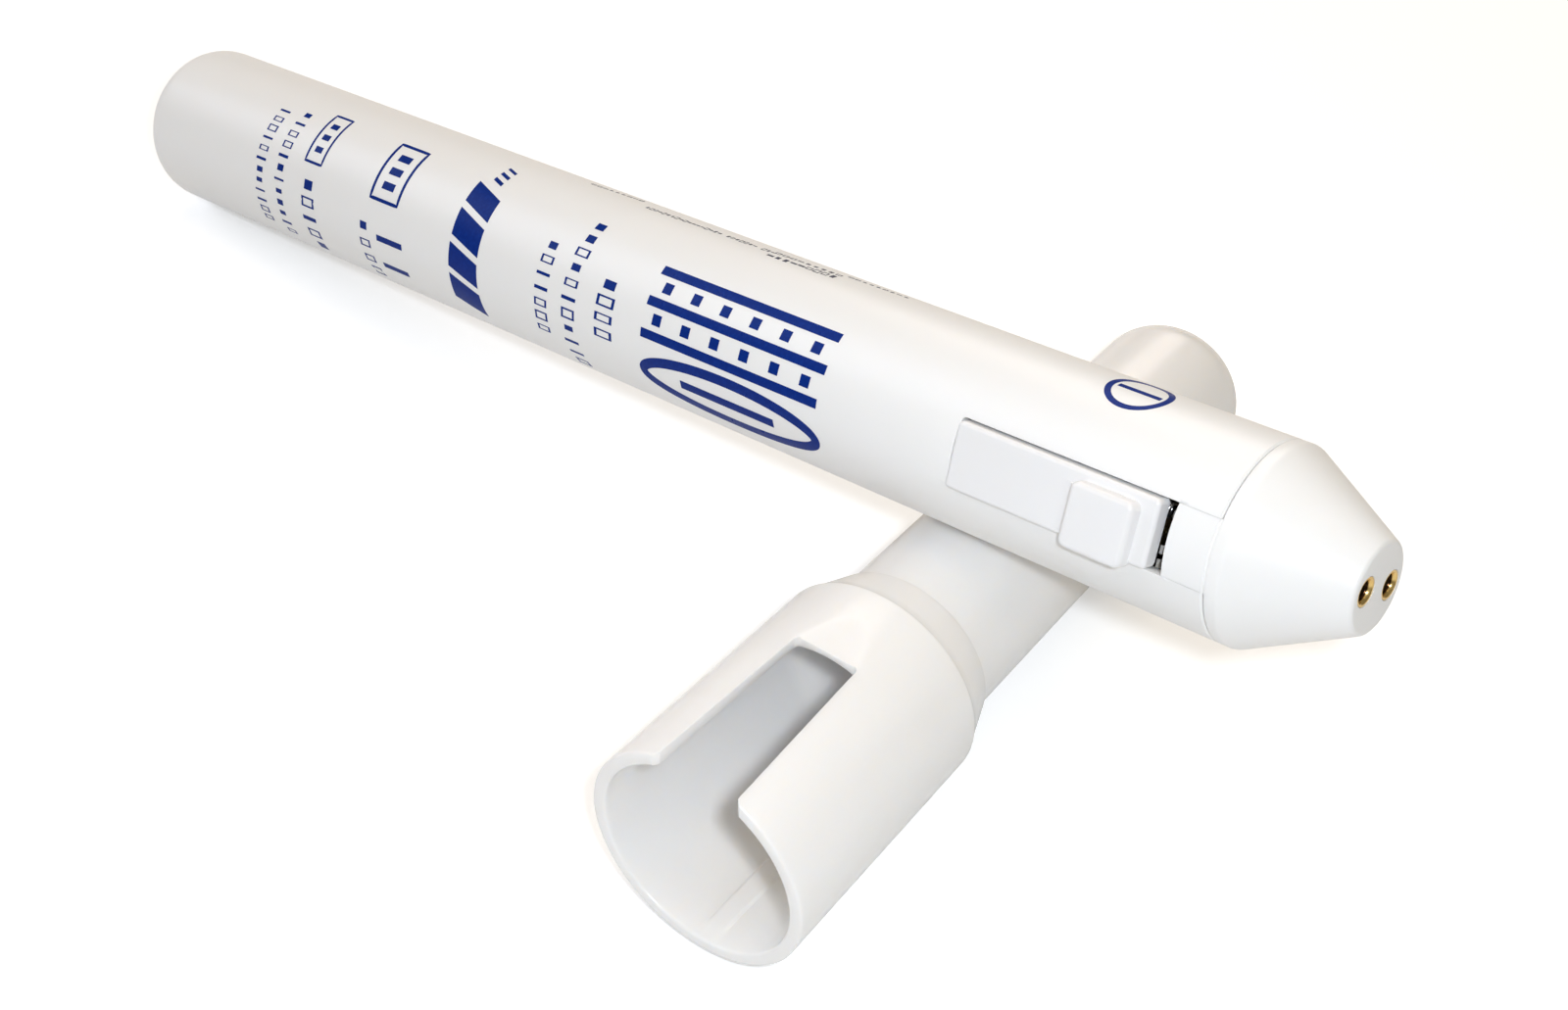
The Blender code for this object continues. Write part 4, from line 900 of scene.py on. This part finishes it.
nose_profile = [(NOSE_TIP, 0.0)]
nose_profile += arc_points((NOSE_TIP - FACE_ROUNDING, NOSE_FACE), FACE_ROUNDING, 0.0, CONE_LEAN, 6)
nose_profile += arc_points((NOSE_BASE - BASE_EDGE, TUBE_RADIUS - BASE_ROUNDING), BASE_ROUNDING,
                           CONE_LEAN, 90.0, 4)
nose_profile += arc_points((NOSE_BAND + BAND_ROUNDING, TUBE_RADIUS - BAND_ROUNDING),
                           BAND_ROUNDING, 90.0, 180.0, 4)
nose_profile += [(NOSE_BAND, SPIGOT_RADIUS), (SPIGOT_START + TUBE_EDGE, SPIGOT_RADIUS),
                 (SPIGOT_START, SPIGOT_RADIUS - TUBE_EDGE), (SPIGOT_START, SPIGOT_BORE),
                 (NOSE_BASE, SPIGOT_BORE), (CAVITY_END, CAVITY_RADIUS), (CAVITY_END, 0.0)]
tongue_ring = spun([(WINDOW_FRONT, TONGUE_ROOT), (TONGUE_END, TONGUE_ROOT),
                    (TONGUE_END, TONGUE_SKIN), (NOSE_BAND + 0.16 * MM, TONGUE_SKIN),
                    (NOSE_BAND, TONGUE_GROOVE), (NOSE_BAND - 0.1 * MM, TONGUE_GROOVE),
                    (NOSE_BAND - 0.2 * MM, TONGUE_SKIN), (WINDOW_FRONT, TONGUE_SKIN)],
                   TUBE_AROUND, closed=True)
tongue_room = brick(139.0 * MM, 146.0 * MM, 0.0, 10.0 * MM, *TONGUE_SIDES)
tongue = joined_solids(tongue_ring, [("INTERSECT", tongue_room)])
print("tongue:", len(tongue.faces), "faces")

# %% The prongs of the contact leaf
PRONG = ((139.45, 6.5), (139.75, 6.5), (139.75, 6.9), (139.58, 7.42), (139.3, 7.42), (139.45, 6.85))
PRONG_SPANS = ((-1.95 * MM, -1.2 * MM), (-3.15 * MM, -2.4 * MM))

prongs = bmesh.new()
for low, high in PRONG_SPANS:
    prong = drawn_along([(x * MM, z * MM) for x, z in PRONG], low, high)
    prongs.from_mesh(mesh_of(prong, "prong"))
finish_piece(prongs, "leaf_prongs", nickel_steel, PEN, "head", angle=30.0)
print("prongs:", len(PRONG_SPANS))

# %% Nose
PAST_TIP = 156.0 * MM
SOCKET_PLACES = (-2.175 * MM, 2.175 * MM)
SOCKET_MOUTH = 1.36 * MM             # radius of the hole round a socket's rim
SOCKET_HOLE = 1.16 * MM
SOCKET_STEP = 154.16 * MM
SOCKET_END = 146.37 * MM

hole = [(PAST_TIP, 0.0), (PAST_TIP, SOCKET_MOUTH), (SOCKET_STEP, SOCKET_MOUTH),
        (SOCKET_STEP, SOCKET_HOLE), (SOCKET_END, SOCKET_HOLE), (SOCKET_END, 0.0)]
switch_opening = brick(134.0 * MM, 140.57 * MM, 2.2 * MM, 9.0 * MM, -4.2 * MM, 4.2 * MM)
spring_seat = brick(140.57 * MM, 141.77 * MM, 5.12 * MM, 7.18 * MM, 0.42 * MM, 2.46 * MM)
wiper_notch = brick(134.0 * MM, 142.11 * MM, -9.0 * MM, -5.1 * MM, -1.9 * MM, 1.9 * MM)
nose_bm = joined_solids(spun(nose_profile, TUBE_AROUND), [
    ("DIFFERENCE", switch_opening), ("UNION", tongue), ("UNION", spring_seat),
    ("DIFFERENCE", wiper_notch)] + [("DIFFERENCE", spun(hole, 48, z)) for z in SOCKET_PLACES])
nose = finish_piece(nose_bm, "nose_moulding", white_plastic, PEN, "head",
                    "nose_cone", angle=28.0)
flatten_faces(nose)
print("nose:", len(nose.data.polygons), "faces")

# %% [markdown]
# ## The printed marks
#
# Dark blue marks run round the tube: rows of small signs, two framed boxes, a slanted row, one
# large block and the switch's on sign. All are plain shapes, never letters. They repeat, and they
# follow a round skin, and Geometry Nodes is good at both: one tree lays out a row of small shapes,
# one draws an outline, and both bend what they made round the tube. A text object or a painted
# texture would be other ways, but a shared part carries no words.

# %% Ink
INK_SPECULAR = 0.08


def printing_ink(name, colour, faded):
    """Ink on plastic: nearly even, and a little thin in places."""
    material, tree, shader = start_material(name, colour, 0.32)
    shader.inputs["Specular IOR Level"].default_value = INK_SPECULAR
    thin = add_noise(tree, 2600.0, 3.0)
    feed(tree, shader, {
        "Base Color": mix_colours(tree, spread(tree, thin, 0.0, 1.0, 0.45, 0.8), colour, faded),
        "Roughness": spread(tree, add_noise(tree, 700.0, 3.0), 0.27, 0.38),
        "Normal": add_bump(tree, thin, 0.003 * MM, 0.3)})
    return material


blue_ink = printing_ink("blue_ink", (0.0012, 0.022, 0.2), (0.002, 0.03, 0.25))
grey_ink = printing_ink("grey_ink", (0.07, 0.075, 0.11), (0.13, 0.135, 0.17))
print("inks:", blue_ink.name, grey_ink.name)

# %% Helpers for Geometry Nodes
INK = 0.03 * MM                      # thickness of the ink


def start_tree(name, sockets):
    """A Geometry Nodes tree with named inputs, and the sockets that give them."""
    tree = bpy.data.node_groups.new(name, "GeometryNodeTree")
    tree.interface.new_socket("Geometry", in_out="OUTPUT", socket_type="NodeSocketGeometry")
    for label, kind in sockets.items():
        tree.interface.new_socket(label, in_out="INPUT", socket_type="NodeSocket" + kind)
    return tree, tree.nodes.new("NodeGroupInput").outputs


def calculate(tree, operation, first, second=0.0):
    """One sum of two sockets or numbers."""
    return grow(tree, "ShaderNodeMath", {0: first, 1: second}, operation=operation)


def parts_of(tree, vector):
    """The X, Y and Z of a vector."""
    return add_node(tree, "ShaderNodeSeparateXYZ", {0: vector}).outputs


def rectangle(tree, width, height):
    """A flat rectangle."""
    kind = "GeometryNodeCurvePrimitiveQuadrilateral"
    return grow(tree, kind, {"Width": width, "Height": height})


def stroked(tree, path, profile):
    """A profile drawn upright along a flat path."""
    upright = grow(tree, "GeometryNodeSetCurveNormal", {"Curve": path}, mode="Z_UP")
    return grow(tree, "GeometryNodeCurveToMesh", {"Curve": upright, "Profile Curve": profile})


def choose(tree, switch, off, on):
    """One of two geometries."""
    inputs = {"Switch": switch, "False": off, "True": on}
    return grow(tree, "GeometryNodeSwitch", inputs, input_type="GEOMETRY")


def finish_tree(tree, geometry, ink):
    """Bend flat geometry round the tube, with Z rising from its skin, and end the tree."""
    x, y, z = parts_of(tree, grow(tree, "GeometryNodeInputPosition"))
    angle = calculate(tree, "DIVIDE", y, TUBE_RADIUS)
    reach = calculate(tree, "ADD", z, TUBE_RADIUS)
    side = calculate(tree, "MULTIPLY", reach, calculate(tree, "SINE", angle))
    height = calculate(tree, "MULTIPLY", reach, calculate(tree, "COSINE", angle))
    bent = grow(tree, "ShaderNodeCombineXYZ", {0: x, 1: side, 2: height})
    moved = grow(tree, "GeometryNodeSetPosition", {"Geometry": geometry, "Position": bent})
    solid = grow(tree, "GeometryNodeRealizeInstances", {"Geometry": moved})
    inked = grow(tree, "GeometryNodeSetMaterial", {"Geometry": solid, "Material": ink})
    add_node(tree, "NodeGroupOutput", {"Geometry": inked})
    return tree


print("tree helpers ready")


# %% The tree for a row of small shapes
def row_tree():
    """A row of blocks, or of mixed strokes and hollow boxes, that steps any way."""
    tree, given = start_tree("print_row", {
        "Count": "Int", "Start": "Vector", "Step": "Vector", "Size": "Vector", "Mixed": "Bool",
        "Variety": "Float", "Gaps": "Float", "Slant": "Float", "Seed": "Int", "Ink": "Material"})

    def cube(width, length, cuts):
        return grow(tree, "GeometryNodeMeshCube", {
            "Size": (width, length, 1.0), "Vertices X": 3, "Vertices Y": cuts, "Vertices Z": 2})

    def random(kind, output, limits):
        inputs = {**limits, "Seed": given["Seed"]}
        return grow(tree, "FunctionNodeRandomValue", inputs, output, data_type=kind)

    line = grow(tree, "GeometryNodeMeshLine", {
        "Count": given["Count"], "Offset": given["Step"], "Start Location": given["Start"]},
        mode="OFFSET")
    dropped = random("BOOLEAN", 3, {"Probability": given["Gaps"]})
    kept = grow(tree, "GeometryNodeDeleteGeometry", {"Geometry": line, "Selection": dropped})
    box = stroked(tree, rectangle(tree, 0.8, 0.72), rectangle(tree, 0.2, 1.0))
    kinds = add_node(tree, "GeometryNodeJoinGeometry")
    for shape in (cube(1.0, 0.32, 3), box, cube(0.6, 0.7, 3)):
        feed(tree, kinds, {0: grow(tree, "GeometryNodeGeometryToInstance", {0: shape})})
    shape = choose(tree, given["Mixed"], cube(1.0, 1.0, 7), kinds.outputs[0])

    least = calculate(tree, "SUBTRACT", 1.0, given["Variety"])
    share = random("FLOAT", 1, {2: least, 3: 1.0})
    narrower = grow(tree, "ShaderNodeCombineXYZ", {0: 1.0, 1: share, 2: 1.0})
    size = {0: given["Size"], 1: narrower}
    scale = grow(tree, "ShaderNodeVectorMath", size, operation="MULTIPLY")
    placed = grow(tree, "GeometryNodeInstanceOnPoints", {
        "Points": kept, "Instance": shape, "Pick Instance": given["Mixed"],
        "Instance Index": random("INT", 2, {4: 0, 5: 2}), "Scale": scale})
    solid = grow(tree, "GeometryNodeRealizeInstances", {"Geometry": placed})

    along = parts_of(tree, grow(tree, "GeometryNodeInputPosition"))[0]
    run = calculate(tree, "SUBTRACT", along, parts_of(tree, given["Start"])[0])
    lean = calculate(tree, "MULTIPLY", run, given["Slant"])
    offset = grow(tree, "ShaderNodeCombineXYZ", {1: lean})
    leaning = grow(tree, "GeometryNodeSetPosition", {"Geometry": solid, "Offset": offset})
    return finish_tree(tree, leaning, given["Ink"])


PRINT_ROW = row_tree()
print("row tree:", len(PRINT_ROW.nodes), "nodes")


# %% The tree for an outline
def outline_tree():
    """A rectangle or an ellipse drawn as a flat line round the tube."""
    tree, given = start_tree("print_outline", {
        "Round": "Bool", "Centre": "Vector", "Size": "Vector", "Line": "Float",
        "Ink": "Material"})

    def subdivided(curve, cuts):
        return grow(tree, "GeometryNodeSubdivideCurve", {"Curve": curve, "Cuts": cuts})

    ellipse = grow(tree, "GeometryNodeCurvePrimitiveCircle", {"Resolution": 96, "Radius": 0.5})
    path = choose(tree, given["Round"], subdivided(rectangle(tree, 1.0, 1.0), 11), ellipse)
    sized = grow(tree, "GeometryNodeTransform", {
        "Geometry": path, "Scale": given["Size"], "Translation": given["Centre"]})
    line = stroked(tree, sized, subdivided(rectangle(tree, given["Line"], INK), 3))
    return finish_tree(tree, line, given["Ink"])


PRINT_OUTLINE = outline_tree()
print("outline tree:", len(PRINT_OUTLINE.nodes), "nodes")

# %% Places and sizes on the skin
SWITCH_ROLL = 62.8                   # degrees from straight up to the switch


def on_skin(x, turn):
    """A flat place from mm along the pen and degrees round it from the top."""
    return (x * MM, TUBE_RADIUS * radians(SWITCH_ROLL - turn), 0.0)


def row(x, start, end, count, height, share=0.8, mixed=True, variety=0.35, gaps=0.0, slant=0.0,
        end_x=None):
    """Values for a row from one angle to another, or along the pen to end_x."""
    first, last = on_skin(x, start), on_skin(x if end_x is None else end_x, end)
    step = tuple((b - a) / max(1, count - 1) for a, b in zip(first, last))
    width = share * hypot(step[0], step[1])
    size = (height * MM, width, INK) if end_x is None else (width, height * MM, INK)
    return {"Count": count, "Start": first, "Step": step, "Size": size, "Mixed": mixed,
            "Variety": variety, "Gaps": gaps, "Slant": slant, "Seed": int(x * 7 + start) % 97}


PLAIN = {"mixed": False, "variety": 0.0}


def bar(x0, x1, start, end):
    """Values for one solid block between two places."""
    middle = 0.5 * (start + end)
    width = TUBE_RADIUS * radians(abs(end - start))
    single = row(0.5 * (x0 + x1), middle, middle, 1, x1 - x0, **PLAIN)
    return {**single, "Size": ((x1 - x0) * MM, width, INK)}


def outline(x0, x1, start, end, line, rounded=False):
    """Values for one outline between two places."""
    size = ((x1 - x0) * MM, TUBE_RADIUS * radians(abs(end - start)), 1.0)
    return {"Round": rounded, "Centre": on_skin(0.5 * (x0 + x1), 0.5 * (start + end)),
            "Size": size, "Line": line * MM}


print("places ready")


# %% Baking the print
def run_tree(tree, values, into):
    """Run a tree once and add what it makes to a bmesh."""
    labels = {item.name: item.identifier for item in tree.interface.items_tree
              if item.in_out == "INPUT"}
    host = add_object("host", bpy.data.meshes.new("host"))
    modifier = host.modifiers.new("print", "NODES")
    modifier.node_group = tree
    for label, value in values.items():
        modifier[labels[label]] = value
    into.from_mesh(baked(host))
    bpy.data.objects.remove(host, do_unlink=True)


def print_piece(name, rows, outlines=(), ink=blue_ink):
    """Gather rows and outlines in one printed piece on the body."""
    bm = bmesh.new()
    for tree, group in ((PRINT_ROW, rows), (PRINT_OUTLINE, outlines)):
        for values in group:
            run_tree(tree, {**values, "Ink": ink}, bm)
    faces = len(bm.faces)
    finish_piece(bm, name, ink, PEN, "body", angle=30.0)
    print(name, faces, "faces")


print("baking ready")

# %% Printed rows, boxes and signs
print_piece("print_rear_lines", [
    row(19.8, 19, 112, 13, 1.7, gaps=0.12), row(23.4, 16, 110, 12, 1.7),
    row(28.6, 63, 113, 5, 2.3, variety=0.2), row(28.5, 17, 37, 3, 1.2, share=0.45, **PLAIN)],
    [outline(27.1, 29.9, 7, 47, 0.3)])
print_piece("print_middle_marks", [
    row(41.2, 21, 43, 3, 1.9, share=0.5, **PLAIN), row(38.4, 75, 114, 4, 1.8),
    row(42.7, 80, 102, 2, 4.2, share=0.25, mixed=False)],
    [outline(39.0, 43.4, 10.3, 53.7, 0.38)])
print_piece("print_slanted_row", [
    row(54.7, 28.5, 97, 4, 4.4, share=0.86, mixed=False, variety=0.2, slant=-0.32),
    row(54.6, -2, 11, 3, 1.6, share=0.5, mixed=False, slant=-0.32)])
print_piece("print_word_rows", [
    row(66.6, 39, 96, 7, 1.9), row(70.6, 16, 118, 11, 2.0), row(75.6, 49, 81, 4, 2.6)])
print_piece("print_large_block", [
    bar(80.8, 103.3, 24.8, 30.8), bar(80.8, 103.4, 45.3, 51.2), bar(80.8, 103.3, 65.8, 71.7),
    *[row(82.6, at, at, 6, 1.1, share=0.3, end_x=101.5, **PLAIN) for at in (38, 58.5)],
    bar(86.0, 98.0, 91.0, 97.0)],
    [outline(81.0, 103.2, 79.0, 109.0, 1.05, rounded=True)])
print_piece("print_on_sign", [bar(128.9, 133.1, -15.9, -12.3)],
            [outline(128.3, 133.7, -31.2, 3.2, 0.58, rounded=True)])
print_piece("print_back_lines", [
    row(63.0, -25, -28, 9, 0.5, end_x=69.5),
    row(71.8, -18.8, -20.5, 30, 0.75, end_x=88.5, gaps=0.1),
    row(89.0, -14.6, -17.4, 9, 1.0, share=0.85, end_x=96.5),
    row(89.0, -22, -23, 9, 0.7, end_x=96.5), row(97.5, -27, -28, 9, 0.5, end_x=104.0)],
    ink=grey_ink)
